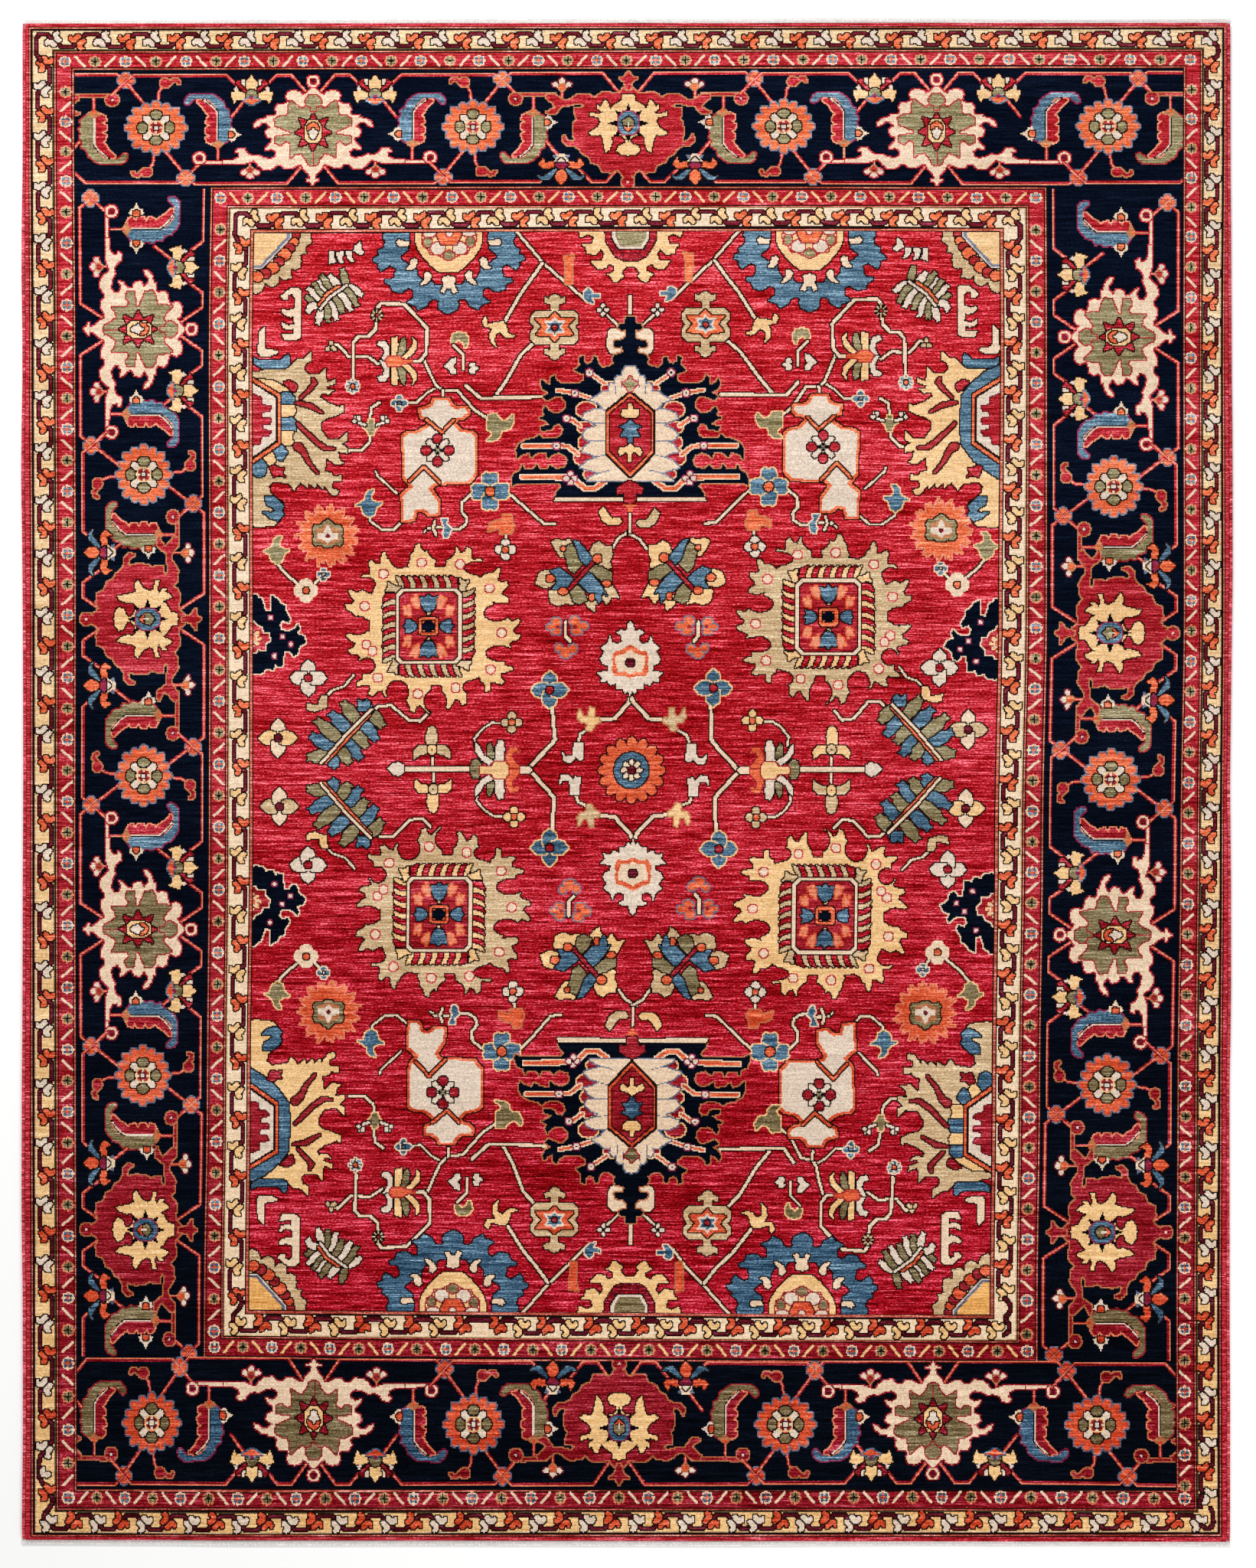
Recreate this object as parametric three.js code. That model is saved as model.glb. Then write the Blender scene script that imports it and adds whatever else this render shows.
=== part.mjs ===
// A hand-knotted wool rug lying flat on the floor. The knotted pile and the foundation under it
// are one slab. A wool overcast selvedge runs down each side, and a narrow flatwoven cotton end
// closes the top and the bottom. Millimetres, +Z up. The origin is the middle of the underside,
// +X runs across the rug, and +Y runs along its length, towards the end that was woven last.
import * as THREE from "three";

// Driving sizes of the whole rug
const halfWidth = 1221; // from the middle to the outside of a selvedge, on average
const topPileEnd = 1533.5; // from the middle to where the pile stops, on average
const bottomPileEnd = 1530.5;
const pieceGap = 0.3; // between pieces that touch in the real rug

// Knotted pile on its foundation
const pileHeight = 9.2; // foundation and sheared pile together
const rimDrop = 1.3; // the last knots lean out, so the rim is lower and rounded
const rimInset = 1.4;
const rimShoulder = 0.5; // height of the upper rim step below the top, and its inset
const sideSteps = 30; // points of the outline down each long side
const endSteps = 26; // points of the outline along each end

// Overcast selvedge, a bundle of warps wrapped in wool
const selvedgeWidth = 8;
const selvedgeHeight = 7.8;
const selvedgeSection = [
  { out: 0, up: 0 },
  { out: 0.8, up: 0 },
  { out: 0.95, up: 0.16 },
  { out: 1, up: 0.46 },
  { out: 0.92, up: 0.75 },
  { out: 0.7, up: 0.95 },
  { out: 0.4, up: 1 },
  { out: 0.12, up: 0.92 },
  { out: 0, up: 0.76 },
];
const selvedgeTips = { length: 12, narrowest: 0.78, topRightNarrowest: 0.4 };

// Flatwoven ends in white cotton
const endThickness = 2.6;
const topEndWidth = 8.5;
const bottomEndWidth = 11;
const endSection = [
  { out: 0, up: 0 },
  { out: 0.9, up: 0 },
  { out: 1, up: 0.35 },
  { out: 0.96, up: 0.75 },
  { out: 0.8, up: 1 },
  { out: 0, up: 1 },
];

// How far each long edge stands out past halfWidth, from the bottom end to the top end
const sideStations = [
  { y: -1531, left: 1.5, right: -2.2 },
  { y: -1274, left: -0.8, right: -1.9 },
  { y: -1062, left: -0.3, right: -3 },
  { y: -849, left: 2.2, right: -3 },
  { y: -637, left: 1.6, right: -3.2 },
  { y: -424, left: 0.2, right: 0.1 },
  { y: -212, left: -0.3, right: -0.1 },
  { y: 0, left: -1.2, right: -2.1 },
  { y: 212, left: -0.8, right: 0.3 },
  { y: 426, left: 0.3, right: 3.1 },
  { y: 637, left: 3, right: 3 },
  { y: 851, left: 0.2, right: 1.1 },
  { y: 1062, left: 2.5, right: 0.2 },
  { y: 1275, left: -0.1, right: -1.3 },
  { y: 1534, left: 0.3, right: -1.6 },
];

// How far the pile reaches past topPileEnd and bottomPileEnd, from left to right
const endStations = [
  { x: -1221, top: -0.9, bottom: -2.6 },
  { x: -978, top: -1.6, bottom: -1.6 },
  { x: -782, top: 0.2, bottom: 0.6 },
  { x: -586, top: -0.8, bottom: 0.2 },
  { x: -391, top: 0.9, bottom: -0.2 },
  { x: -195, top: 0, bottom: 0.6 },
  { x: 0, top: 1.4, bottom: 0.9 },
  { x: 196, top: 0.6, bottom: 1.6 },
  { x: 392, top: 1.6, bottom: 0.4 },
  { x: 589, top: 2.1, bottom: -1 },
  { x: 783, top: -0.8, bottom: 0.1 },
  { x: 980, top: -0.8, bottom: -0.5 },
  { x: 1221, top: 0.4, bottom: 1.4 },
];

// The value of one column of a table of stations, eased between the two nearest rows
function easedValue(stations, place, column, at) {
  let row = 0;
  while (row < stations.length - 2 && at > stations[row + 1][place]) {
    row += 1;
  }
  const before = stations[row];
  const after = stations[row + 1];
  const share = THREE.MathUtils.smoothstep(at, before[place], after[place]);
  return THREE.MathUtils.lerp(before[column], after[column], share);
}

// The outside of the rug at a height y, on the left (side -1) or the right (side 1)
function outerX(side, y) {
  const column = side < 0 ? "left" : "right";
  return side * (halfWidth + easedValue(sideStations, "y", column, y));
}

// Where the pile meets the selvedge
function pileX(side, y) {
  return outerX(side, y) - side * (selvedgeWidth + pieceGap);
}

// Where the pile stops at a place x, at the top (end 1) or the bottom (end -1)
function pileEndY(end, x) {
  if (end > 0) {
    return topPileEnd + easedValue(endStations, "x", "top", x);
  }
  return -(bottomPileEnd + easedValue(endStations, "x", "bottom", x));
}

// The corner of the pile, where its side and its end meet
function pileCorner(side, end) {
  const y = pileEndY(end, side * halfWidth);
  return new THREE.Vector2(pileX(side, y), y);
}

// A closed body through equal rings of points, with a flat cap on the first and the last ring.
// flatten gives the two coordinates in which a ring is a simple outline.
function bodyThroughRings(rings, flatten) {
  const count = rings[0].length;
  const points = rings.flat();
  const faces = [];
  for (let ring = 0; ring < rings.length - 1; ring += 1) {
    for (let k = 0; k < count; k += 1) {
      const a = ring * count + k;
      const b = ring * count + (k + 1) % count;
      faces.push([a, b, b + count], [a, b + count, a + count]);
    }
  }
  const lastRing = (rings.length - 1) * count;
  const capFaces = THREE.ShapeUtils.triangulateShape(rings[0].map(flatten), []);
  const outline = rings[0].map(flatten);
  const turnsLeft = THREE.ShapeUtils.area(outline) > 0;
  for (const face of capFaces) {
    const corners = face.map((k) => outline[k]);
    const facesLeft = THREE.ShapeUtils.area(corners) > 0;
    const [a, b, c] = facesLeft === turnsLeft ? face : [face[0], face[2], face[1]];
    faces.push([a, c, b], [a + lastRing, b + lastRing, c + lastRing]);
  }
  if (signedVolume(points, faces) < 0) {
    faces.forEach((face) => face.reverse());
  }
  const geometry = new THREE.BufferGeometry().setFromPoints(points);
  geometry.setIndex(faces.flat());
  geometry.computeVertexNormals();
  return geometry;
}

function signedVolume(points, faces) {
  const normal = new THREE.Vector3();
  let volume = 0;
  for (const [a, b, c] of faces) {
    volume += points[a].dot(normal.crossVectors(points[b], points[c])) / 6;
  }
  return volume;
}

// The outline of the pile, once round from the bottom left corner
function pileOutline() {
  const outline = [];
  const corners = [
    pileCorner(-1, -1),
    pileCorner(1, -1),
    pileCorner(1, 1),
    pileCorner(-1, 1),
  ];
  corners.forEach((from, k) => {
    const to = corners[(k + 1) % corners.length];
    const alongEnd = k % 2 === 0;
    const steps = alongEnd ? endSteps : sideSteps;
    for (let step = 0; step < steps; step += 1) {
      const point = from.clone().lerp(to, step / steps);
      if (alongEnd && step > 0) {
        point.y = pileEndY(k === 0 ? -1 : 1, point.x);
      }
      if (!alongEnd && step > 0) {
        point.x = pileX(k === 1 ? 1 : -1, point.y);
      }
      outline.push(point);
    }
  });
  return outline;
}

function pileGeometry() {
  const outline = pileOutline();
  const levels = [
    { z: 0, inset: 0 },
    { z: pileHeight - rimDrop - rimShoulder, inset: 0 },
    { z: pileHeight - rimShoulder, inset: rimInset - rimShoulder },
    { z: pileHeight, inset: rimInset + rimShoulder },
  ];
  const rings = levels.map(({ z, inset }) => outline.map((p) => new THREE.Vector3(
    p.x * (1 - inset / halfWidth),
    p.y * (1 - inset / topPileEnd),
    z,
  )));
  return bodyThroughRings(rings, (p) => new THREE.Vector2(p.x, p.y));
}

// A selvedge narrows from its outer side over the last few millimetres at each end
function tipShare(side, fromBottom, fromTop) {
  const { length, narrowest, topRightNarrowest } = selvedgeTips;
  const topNarrowest = side > 0 ? topRightNarrowest : narrowest;
  const bottomShare = Math.min(fromBottom / length, 1);
  const topShare = Math.min(fromTop / length, 1);
  const bottomWidth = THREE.MathUtils.lerp(narrowest, 1, Math.sqrt(bottomShare));
  const topWidth = THREE.MathUtils.lerp(topNarrowest, 1, Math.sqrt(topShare));
  return Math.min(bottomWidth, topWidth);
}

function selvedgeGeometry(side) {
  const low = pileCorner(side, -1).y;
  const high = pileCorner(side, 1).y;
  const tipPlaces = [0, 0.15, 0.4, 1].map((share) => share * selvedgeTips.length);
  const middlePlaces = [];
  for (let step = 1; step < sideSteps; step += 1) {
    middlePlaces.push(low + (high - low) * step / sideSteps);
  }
  const places = [
    ...tipPlaces.map((d) => low + d),
    ...middlePlaces,
    ...tipPlaces.map((d) => high - d).reverse(),
  ];
  const rings = places.map((y) => {
    const inner = outerX(side, y) - side * selvedgeWidth;
    const share = tipShare(side, y - low, high - y);
    const liftShare = (1 + share) / 2;
    return selvedgeSection.map(({ out, up }) => new THREE.Vector3(
      inner + side * out * selvedgeWidth * share,
      y,
      up * selvedgeHeight * liftShare,
    ));
  });
  return bodyThroughRings(rings, (p) => new THREE.Vector2(p.x, p.z));
}

function flatwovenEndGeometry(end) {
  const width = end > 0 ? topEndWidth : bottomEndWidth;
  const endY = pileEndY(end, 0);
  const left = outerX(-1, endY);
  const right = outerX(1, endY);
  const rings = [];
  for (let step = 0; step <= endSteps; step += 1) {
    const x = THREE.MathUtils.lerp(left, right, step / endSteps);
    const inner = pileEndY(end, x) + end * pieceGap;
    rings.push(endSection.map(({ out, up }) => new THREE.Vector3(
      x,
      inner + end * out * width,
      up * endThickness,
    )));
  }
  return bodyThroughRings(rings, (p) => new THREE.Vector2(p.y, p.z));
}

// Finishes, as seen from a step away
function woolOrCotton(color) {
  return new THREE.MeshStandardMaterial({ color, roughness: 0.92, metalness: 0 });
}

function namedPiece(name, geometry, color) {
  const piece = new THREE.Mesh(geometry, woolOrCotton(color));
  piece.name = name;
  return piece;
}

const madderRed = 0xa3202f;
const selvedgeRed = 0xb8323c;
const cottonWhite = 0xece7de;

const rug = new THREE.Group();
rug.add(namedPiece("pile_rug", pileGeometry(), madderRed));
rug.add(namedPiece("selvedge_left", selvedgeGeometry(-1), selvedgeRed));
rug.add(namedPiece("selvedge_right", selvedgeGeometry(1), selvedgeRed));
rug.add(namedPiece("kilim_end_top", flatwovenEndGeometry(1), cottonWhite));
rug.add(namedPiece("kilim_end_bottom", flatwovenEndGeometry(-1), cottonWhite));

export default rug;
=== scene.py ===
# A hand-knotted wool rug on a pale floor, seen from straight above.
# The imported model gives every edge. The design is knotted here row by row into one chart, as on a loom,
# then knots of one colour that lie together become one face of the pile.
import bpy
import numpy as np
from math import cos, degrees, hypot, pi, radians, sin
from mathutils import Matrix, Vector


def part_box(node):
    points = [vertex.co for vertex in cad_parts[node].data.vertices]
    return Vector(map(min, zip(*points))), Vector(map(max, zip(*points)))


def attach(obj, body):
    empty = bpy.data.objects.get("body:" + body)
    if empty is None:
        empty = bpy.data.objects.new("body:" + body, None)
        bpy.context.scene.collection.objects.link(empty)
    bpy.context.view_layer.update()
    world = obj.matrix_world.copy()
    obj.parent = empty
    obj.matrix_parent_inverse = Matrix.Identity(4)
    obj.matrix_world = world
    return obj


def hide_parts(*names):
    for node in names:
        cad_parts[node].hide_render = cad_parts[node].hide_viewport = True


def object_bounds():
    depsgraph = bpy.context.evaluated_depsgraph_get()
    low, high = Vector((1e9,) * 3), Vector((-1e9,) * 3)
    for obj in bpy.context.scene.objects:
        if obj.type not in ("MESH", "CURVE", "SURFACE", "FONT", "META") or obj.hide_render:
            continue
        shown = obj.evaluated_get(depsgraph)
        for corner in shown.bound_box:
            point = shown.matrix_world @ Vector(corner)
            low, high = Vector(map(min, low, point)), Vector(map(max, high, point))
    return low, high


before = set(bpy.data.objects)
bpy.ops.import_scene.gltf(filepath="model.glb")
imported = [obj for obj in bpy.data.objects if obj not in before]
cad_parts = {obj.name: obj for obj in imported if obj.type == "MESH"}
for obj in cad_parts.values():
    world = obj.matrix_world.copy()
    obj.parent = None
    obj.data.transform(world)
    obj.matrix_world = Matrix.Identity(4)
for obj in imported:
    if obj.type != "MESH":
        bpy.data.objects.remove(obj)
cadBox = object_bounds()


# Camera: straight down, far off with a long lens, so the rug stays as flat as in the photograph

cameraSettings = dict(
    lens=85.0,
    sensor=36.0,
    seenHeight=3.1642,  # metres of floor from the top of the picture to its foot
    aimX=0.0023,
    aimY=-0.0023,
)


def makeCamera(settings):
    data = bpy.data.cameras.new("rugCamera")
    data.lens = settings["lens"]
    data.sensor_width = settings["sensor"]
    data.clip_end = 60.0
    camera = bpy.data.objects.new("rugCamera", data)
    height = settings["seenHeight"] * settings["lens"] / settings["sensor"]
    camera.location = (settings["aimX"], settings["aimY"], height + cadBox[1].z)
    bpy.context.scene.collection.objects.link(camera)
    bpy.context.scene.camera = camera
    return camera


makeCamera(cameraSettings)
print("camera made")


# Edges of the rug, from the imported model

edgeSearch = dict(
    floorLevel=0.0003,  # points lower than this lie on the floor
    sides=1.2,  # and of these, the ones further out than this on a long side
    ends=1.515,
)


def outlinePoints(node):
    points = np.array([v.co[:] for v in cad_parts[node].data.vertices])
    return points[points[:, 2] < edgeSearch["floorLevel"]]


pileOutline = outlinePoints("pile_rug")


def outlineEdge(points, along, across, side, limit):
    edge = points[points[:, across] * side > limit]
    edge = edge[np.argsort(edge[:, along])]
    return edge[:, along], edge[:, across]


leftEdge, rightEdge = [outlineEdge(pileOutline, 1, 0, side, edgeSearch["sides"]) for side in (-1, 1)]
footEdge, headEdge = [outlineEdge(pileOutline, 0, 1, end, edgeSearch["ends"]) for end in (-1, 1)]


def pileEdgeX(side, y):
    return np.interp(y, *(rightEdge if side > 0 else leftEdge))


def pileEdgeY(end, x):
    return np.interp(x, *(headEdge if end > 0 else footEdge))


# Yarns: red, green and blue at the head of the rug, the same at its foot, and how unevenly the dye took.
# Each yarn is painted lighter at the head and darker at the foot: painted light and shade, with some real
# change of dye

yarns = dict(
    madder=((187, 31, 40), (155, 11, 26), 1.0),
    scarlet=((192, 47, 58), (174, 35, 47), 0.8),
    crimson=((180, 38, 47), (132, 18, 29), 0.7),
    brick=((172, 46, 48), (134, 28, 34), 0.5),
    maroon=((112, 26, 40), (84, 14, 26), 0.5),
    rose=((150, 44, 78), (118, 30, 58), 0.4),
    orange=((229, 112, 72), (202, 74, 44), 0.6),
    coral=((206, 108, 84), (172, 74, 60), 0.8),
    peach=((232, 150, 118), (214, 116, 84), 0.4),
    maize=((234, 192, 141), (229, 184, 126), 0.35),
    wheat=((234, 201, 158), (228, 182, 123), 0.4),
    gold=((240, 201, 152), (225, 163, 89), 0.4),
    straw=((202, 173, 134), (198, 166, 126), 0.5),
    tan=((190, 128, 88), (172, 100, 64), 0.3),
    ivory=((221, 202, 184), (217, 196, 176), 0.25),
    linen=((236, 210, 182), (232, 203, 169), 0.25),
    cream=((230, 203, 176), (224, 195, 165), 0.25),
    sage=((148, 136, 100), (112, 95, 64), 0.6),
    olive=((92, 84, 58), (74, 62, 40), 0.4),
    slate=((118, 124, 144), (88, 92, 112), 0.4),
    blue=((90, 121, 142), (56, 86, 110), 0.7),
    navy=((5, 12, 28), (3, 6, 15), 0.25),
    black=((8, 7, 12), (6, 5, 8), 0.1),
    umber=((30, 15, 14), (24, 11, 10), 0.15),
)
yarnNumber = {name: k for k, name in enumerate(yarns)}


# The knot chart: one cell for each knot, holding the number of its yarn

weave = dict(
    pitch=2.4,  # millimetres from knot to knot
    halfWidth=1213.0,
    halfLength=1532.0,
)
pitch = weave["pitch"]


def oddCount(halfSize):
    return int(2 * halfSize / pitch) // 2 * 2 + 1


cols = oddCount(weave["halfWidth"])
rows = oddCount(weave["halfLength"])
knotX = (np.arange(cols) - (cols - 1) / 2) * pitch
knotY = (np.arange(rows) - (rows - 1) / 2) * pitch
chart = np.zeros((rows, cols), np.uint8)
window = np.ones((rows, cols), bool)  # the knots that a pen may change


def span(places, low, high):
    first = int(np.searchsorted(places, low))
    last = int(np.searchsorted(places, high, "right"))
    return slice(first, max(first, last))


def grow(mask, knots):
    for _ in range(knots):
        tall = mask.copy()
        tall[1:] |= mask[:-1]
        tall[:-1] |= mask[1:]
        mask = tall.copy()
        mask[:, 1:] |= tall[:, :-1]
        mask[:, :-1] |= tall[:, 1:]
    return mask


def polygonMask(points, xs, ys):
    mask = np.zeros((len(ys), len(xs)), bool)
    for (x1, y1), (x2, y2) in zip(points, points[1:] + points[:1]):
        crossed = (y1 > ys) != (y2 > ys)
        if crossed.any():
            edge = x1 + (ys[crossed] - y1) * (x2 - x1) / (y2 - y1)
            mask[crossed] ^= xs[None, :] < edge[:, None]
    return mask


def strokeMask(points, widths, xs, ys):
    mask = np.zeros((len(ys), len(xs)), bool)
    across, along = xs[None, :], ys[:, None]
    for (x1, y1), (x2, y2), w1, w2 in zip(points, points[1:], widths, widths[1:]):
        dx, dy = x2 - x1, y2 - y1
        share = np.clip(((across - x1) * dx + (along - y1) * dy) / (dx * dx + dy * dy), 0, 1)
        radius = (w1 * (1 - share) + w2 * share) / 2
        mask |= (across - x1 - share * dx) ** 2 + (along - y1 - share * dy) ** 2 <= radius**2
    return mask


def ovalPoints(x, y, a, b, turn=0, count=24):
    cosine, sine = cos(radians(turn)), sin(radians(turn))
    points = []
    for k in range(count):
        u, v = a * cos(2 * pi * k / count), b * sin(2 * pi * k / count)
        points.append((x + u * cosine - v * sine, y + u * sine + v * cosine))
    return points


# Both sides of an outline that is given down one side
def mirrored(outline):
    return list(outline) + [(-x, y) for x, y in reversed(outline) if x]


# Knots motifs into the chart, in millimetres from its own place and turn. Each shape has a dark brown
# edge of one knot, unless another yarn is named for it, or None
class Pen:
    def __init__(self, x=0, y=0, turn=0, flip=False, size=1, swap=None):
        self.x, self.y = x, y
        self.turn, self.flip, self.size = turn, flip, size
        self.swap = swap or {}  # yarns that take each other's place

    def at(self, x, y, turn=0, flip=False, size=1):
        placeX, placeY = self.map([(x, y)])[0]
        turn = self.turn + (-turn if self.flip else turn)
        return Pen(placeX, placeY, turn, self.flip != flip, self.size * size, self.swap)

    def both(self):
        return self, self.at(0, 0, flip=True)

    def aboveAndBelow(self):
        return self, self.at(0, 0, turn=180, flip=True)

    def turned(self, count, first=0):
        return [self.at(0, 0, turn=first + 360 * k / count) for k in range(count)]

    def map(self, points):
        cosine, sine = cos(radians(self.turn)) * self.size, sin(radians(self.turn)) * self.size
        side = -1 if self.flip else 1
        return [
            (self.x + side * x * cosine - y * sine, self.y + side * x * sine + y * cosine)
            for x, y in points
        ]

    def knot(self, maskOf, points, yarn, edge, knots, reach=0):
        reach += pitch * (knots + 2)
        xs, ys = zip(*points)
        across = span(knotX, min(xs) - reach, max(xs) + reach)
        along = span(knotY, min(ys) - reach, max(ys) + reach)
        mask = maskOf(knotX[across], knotY[along])
        cells, free = chart[along, across], window[along, across]
        if edge:
            cells[grow(mask, knots) & ~mask & free] = yarnNumber[self.swap.get(edge, edge)]
        cells[mask & free] = yarnNumber[self.swap.get(yarn, yarn)]

    def patch(self, outline, yarn, edge="umber", more=(), holes=(), knots=1):
        shapes = [self.map(points) for points in (outline, *more)]
        cuts = [self.map(points) for points in holes]

        def maskOf(xs, ys):
            mask = np.zeros((len(ys), len(xs)), bool)
            for shape in shapes:
                mask |= polygonMask(shape, xs, ys)
            for cut in cuts:
                mask &= ~polygonMask(cut, xs, ys)
            return mask

        self.knot(maskOf, sum(shapes, []), yarn, edge, knots)

    # A patch whose outline is given down one side
    def folded(self, side, *rest):
        self.patch(mirrored(side), *rest)

    # The same patch on either side
    def pair(self, *shape):
        for half in self.both():
            half.patch(*shape)

    def line(self, points, width, yarn, edge="umber"):
        widths = width if isinstance(width, list) else [width] * len(points)
        widths = [w * self.size for w in widths]
        places = self.map(points)
        self.knot(lambda xs, ys: strokeMask(places, widths, xs, ys), places, yarn, edge, 1, max(widths) / 2)

    def oval(self, x, y, a, b, yarn, edge="umber", turn=0):
        self.patch(ovalPoints(x, y, a, b, turn), yarn, edge)


# Motifs of the main border

def xFlower(pen):
    for arm in pen.turned(4):
        arm.oval(0, 10, 6.5, 6.5, "orange", "slate")
    for arm in pen.turned(4, 45):
        arm.line([(0, 0), (15, 0)], 4.4, "crimson", None)
        arm.line([(0, 0), (15, 0)], 2.4, "peach", None)


def ring(pen, band, edge, core="maroon", eye=None):
    pen.oval(0, 0, 12.5, 12, band, edge)
    pen.oval(0, 0, 5, 5, core, None if eye else edge)
    if eye:
        pen.oval(0, 0, 2.6, 2.6, eye, None)


# A pale line with a dark red line beside it
def vine(pen, points, under=1.2):
    pen.line(points, 7, "crimson", None)
    pen.at(0, under).line(points, 2.6, "peach", None)


def twig(pen, points):
    pen.line(points, 6.4, "crimson", None)
    pen.line(points, 2.4, "peach", None)


rosetteSizes = dict(petals=16, wide=48, tall=43)


def rosette(pen, sizes):
    wide, tall = sizes["wide"], sizes["tall"]
    outer = [ovalPoints(0, 0, wide - 9, tall - 7)]
    for k in range(sizes["petals"]):
        angle = 2 * pi * k / sizes["petals"] + pi / 2
        share = 1 if k % 2 == 0 else 0.94
        x, y = wide * cos(angle) * share, tall * sin(angle) * share
        outer.append(ovalPoints(x, y, 14, 8.6, degrees(angle)))
    pen.patch(outer[0], "orange", "slate", outer[1:])
    for arm in pen.turned(4):
        arm.oval(0, 27, 11.5, 9, "sage")
        arm.at(0, 0, turn=45).folded([(3.5, 10), (7, 24), (6, 31), (0, 34)], "ivory")
    pen.oval(0, 0, 13, 13, "brick", "maize")
    for arm in pen.turned(4):
        arm.oval(0, 10, 2.6, 3, "ivory", None)
    pen.patch([(-4, -4), (4, -4), (4, 4), (-4, 4)], "ivory")


def rosetteAndBuds(pen):
    for end in pen.turned(2):
        twig(end, [(-3, 52), (-6, 76), (-14, 90)])
        bud(end.at(-18, 94, flip=True, size=0.85))
    rosette(pen, rosetteSizes)


# Saz leaf from its base, growing up and hooking to the left
def leaf(pen, outer, outerEdge):
    blueHalf = [
        (1, 4), (10, 3), (20, 9), (27, 17), (24, 26), (29, 34), (25, 44), (29, 54), (22, 62), (25, 72),
        (14, 79), (11, 91), (0, 100), (-11, 107), (-52, 108), (-62, 101), (-67, 90), (-61, 85), (-53, 92),
        (-46, 98), (-23, 97), (-12, 88), (1, 73),
    ]
    redHalf = [
        (-1, 5), (-12, 2), (-22, 7), (-24, 15), (-15, 20), (-25, 27), (-24, 36), (-15, 41), (-24, 48),
        (-22, 57), (-16, 61), (-24, 70), (-30, 80), (-44, 93), (-32, 96), (-20, 92), (-6, 77), (-1, 66),
    ]
    pen.patch(blueHalf, outer, outerEdge)
    pen.patch(redHalf, "crimson", "peach")
    pen.line([(0, 5), (0, 68), (-9, 81), (-30, 96)], 5, "umber", None)
    pen.line([(-1, 6), (-1, 67), (-10, 80), (-27, 94)], 2.6, "ivory", None)
    pen.patch([(-15, 5), (-9, -3), (0, -8), (9, -3), (16, 4), (8, 6), (0, 12), (-7, 6)], "tan", None)
    pen.patch([(-5, -2), (0, -7), (5, -2), (0, 3)], "orange", None)


# Small half flower that sits on a leaf's back; opens up
def leafFlower(pen, petal):
    pen.folded([(0, 24), (6, 12), (12, 10), (15, 2), (8, -3)], petal, None)
    pen.patch([(-6, -3), (-7, 4), (0, 9), (7, 4), (6, -3)], "orange")


# Round bud with a hooked tip that bends to the right; stalk comes from below
def bud(pen):
    tip = [(4, 4), (14, 6), (20, 12), (30, 10), (36, 0), (31, -3), (26, 4), (19, 3), (14, -2), (6, -6)]
    pen.patch(ovalPoints(0, 0, 12, 11), "crimson", "tan", [tip])


# Lily with curled side petals, opening up
def lily(pen):
    for half in pen.both():
        half.patch([(8, 1), (30, 9), (44, 5), (41, -8), (36, -19), (31, -10), (22, -12), (12, -8)], "maize")
        half.patch([(28, 8), (32, 20), (38, 10)], "ivory", None)
        half.patch([(6, 0), (14, 6), (34, 25), (26, 32), (14, 22), (4, 10)], "crimson")
        half.patch([(7, 14), (20, 22), (21, 32), (12, 31), (6, 24)], "ivory")
    pen.folded([(0, 42), (6, 33), (12, 28), (11, 14), (6, 8)], "maize")
    pen.patch([(-9, 8), (0, 12), (9, 8), (13, -4), (0, -8), (-13, -4)], "sage")
    pen.patch([(-20, -10), (0, -22), (20, -10), (6, -9), (0, -3), (-6, -9)], "orange", "blue")
    pen.oval(0, -6, 4, 4, "rose", None)


def blueLily(pen):
    for half in pen.both():
        half.patch([(10, 2), (20, 6), (32, 2), (36, 14), (46, 0), (38, -8), (26, -9), (14, -6)], "orange")
        half.patch([(6, -8), (16, -12), (36, -26), (48, -24), (40, -32), (26, -34), (12, -18)], "blue")
        half.patch([(2, 8), (14, 12), (18, 20), (8, 18)], "slate", None)
    pen.folded([(0, -44), (6, -38), (12, -30), (10, -18), (0, -10)], "orange")
    pen.folded([(0, 22), (10, 20), (8, 16), (15, 6), (0, 2)], "cream", None)
    pen.patch([(-8, 6), (0, 14), (8, 6), (4, 0), (-4, 0)], "ivory")
    pen.patch([(-14, 0), (-4, 3), (4, 3), (14, 0), (6, -10), (-6, -10)], "rose")
    pen.oval(0, -6, 4, 4, "brick", None)


# Small hanging flower below a stem; opens down
def sprig(pen, heart, edge):
    twig(pen, [(0, 20), (0, 4)])
    pen.pair([(4, -4), (10, -2), (18, -5), (20, -9), (14, -14), (7, -10)], "ivory", edge)
    pen.patch([(-5, -9), (-7, -16), (0, -22), (7, -16), (5, -9)], "ivory", edge)
    pen.patch([(-7, -2), (0, 5), (7, -2), (4, -9), (-4, -9)], heart, "tan")


# An eight pointed star with a wide or a narrow waist
def eightStar(pen, yarn, edge, wide, tall, waistWide, waistTall, cornerReach=1.0):
    points = []
    for k in range(8):
        tip, notch = radians(45 * k), radians(45 * k + 22.5)
        reach = 1.0 if k % 2 == 0 else cornerReach
        points.append((wide * reach * cos(tip), tall * reach * sin(tip)))
        points.append((waistWide * cos(notch), waistTall * sin(notch)))
    pen.patch(points, yarn, edge)


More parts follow.
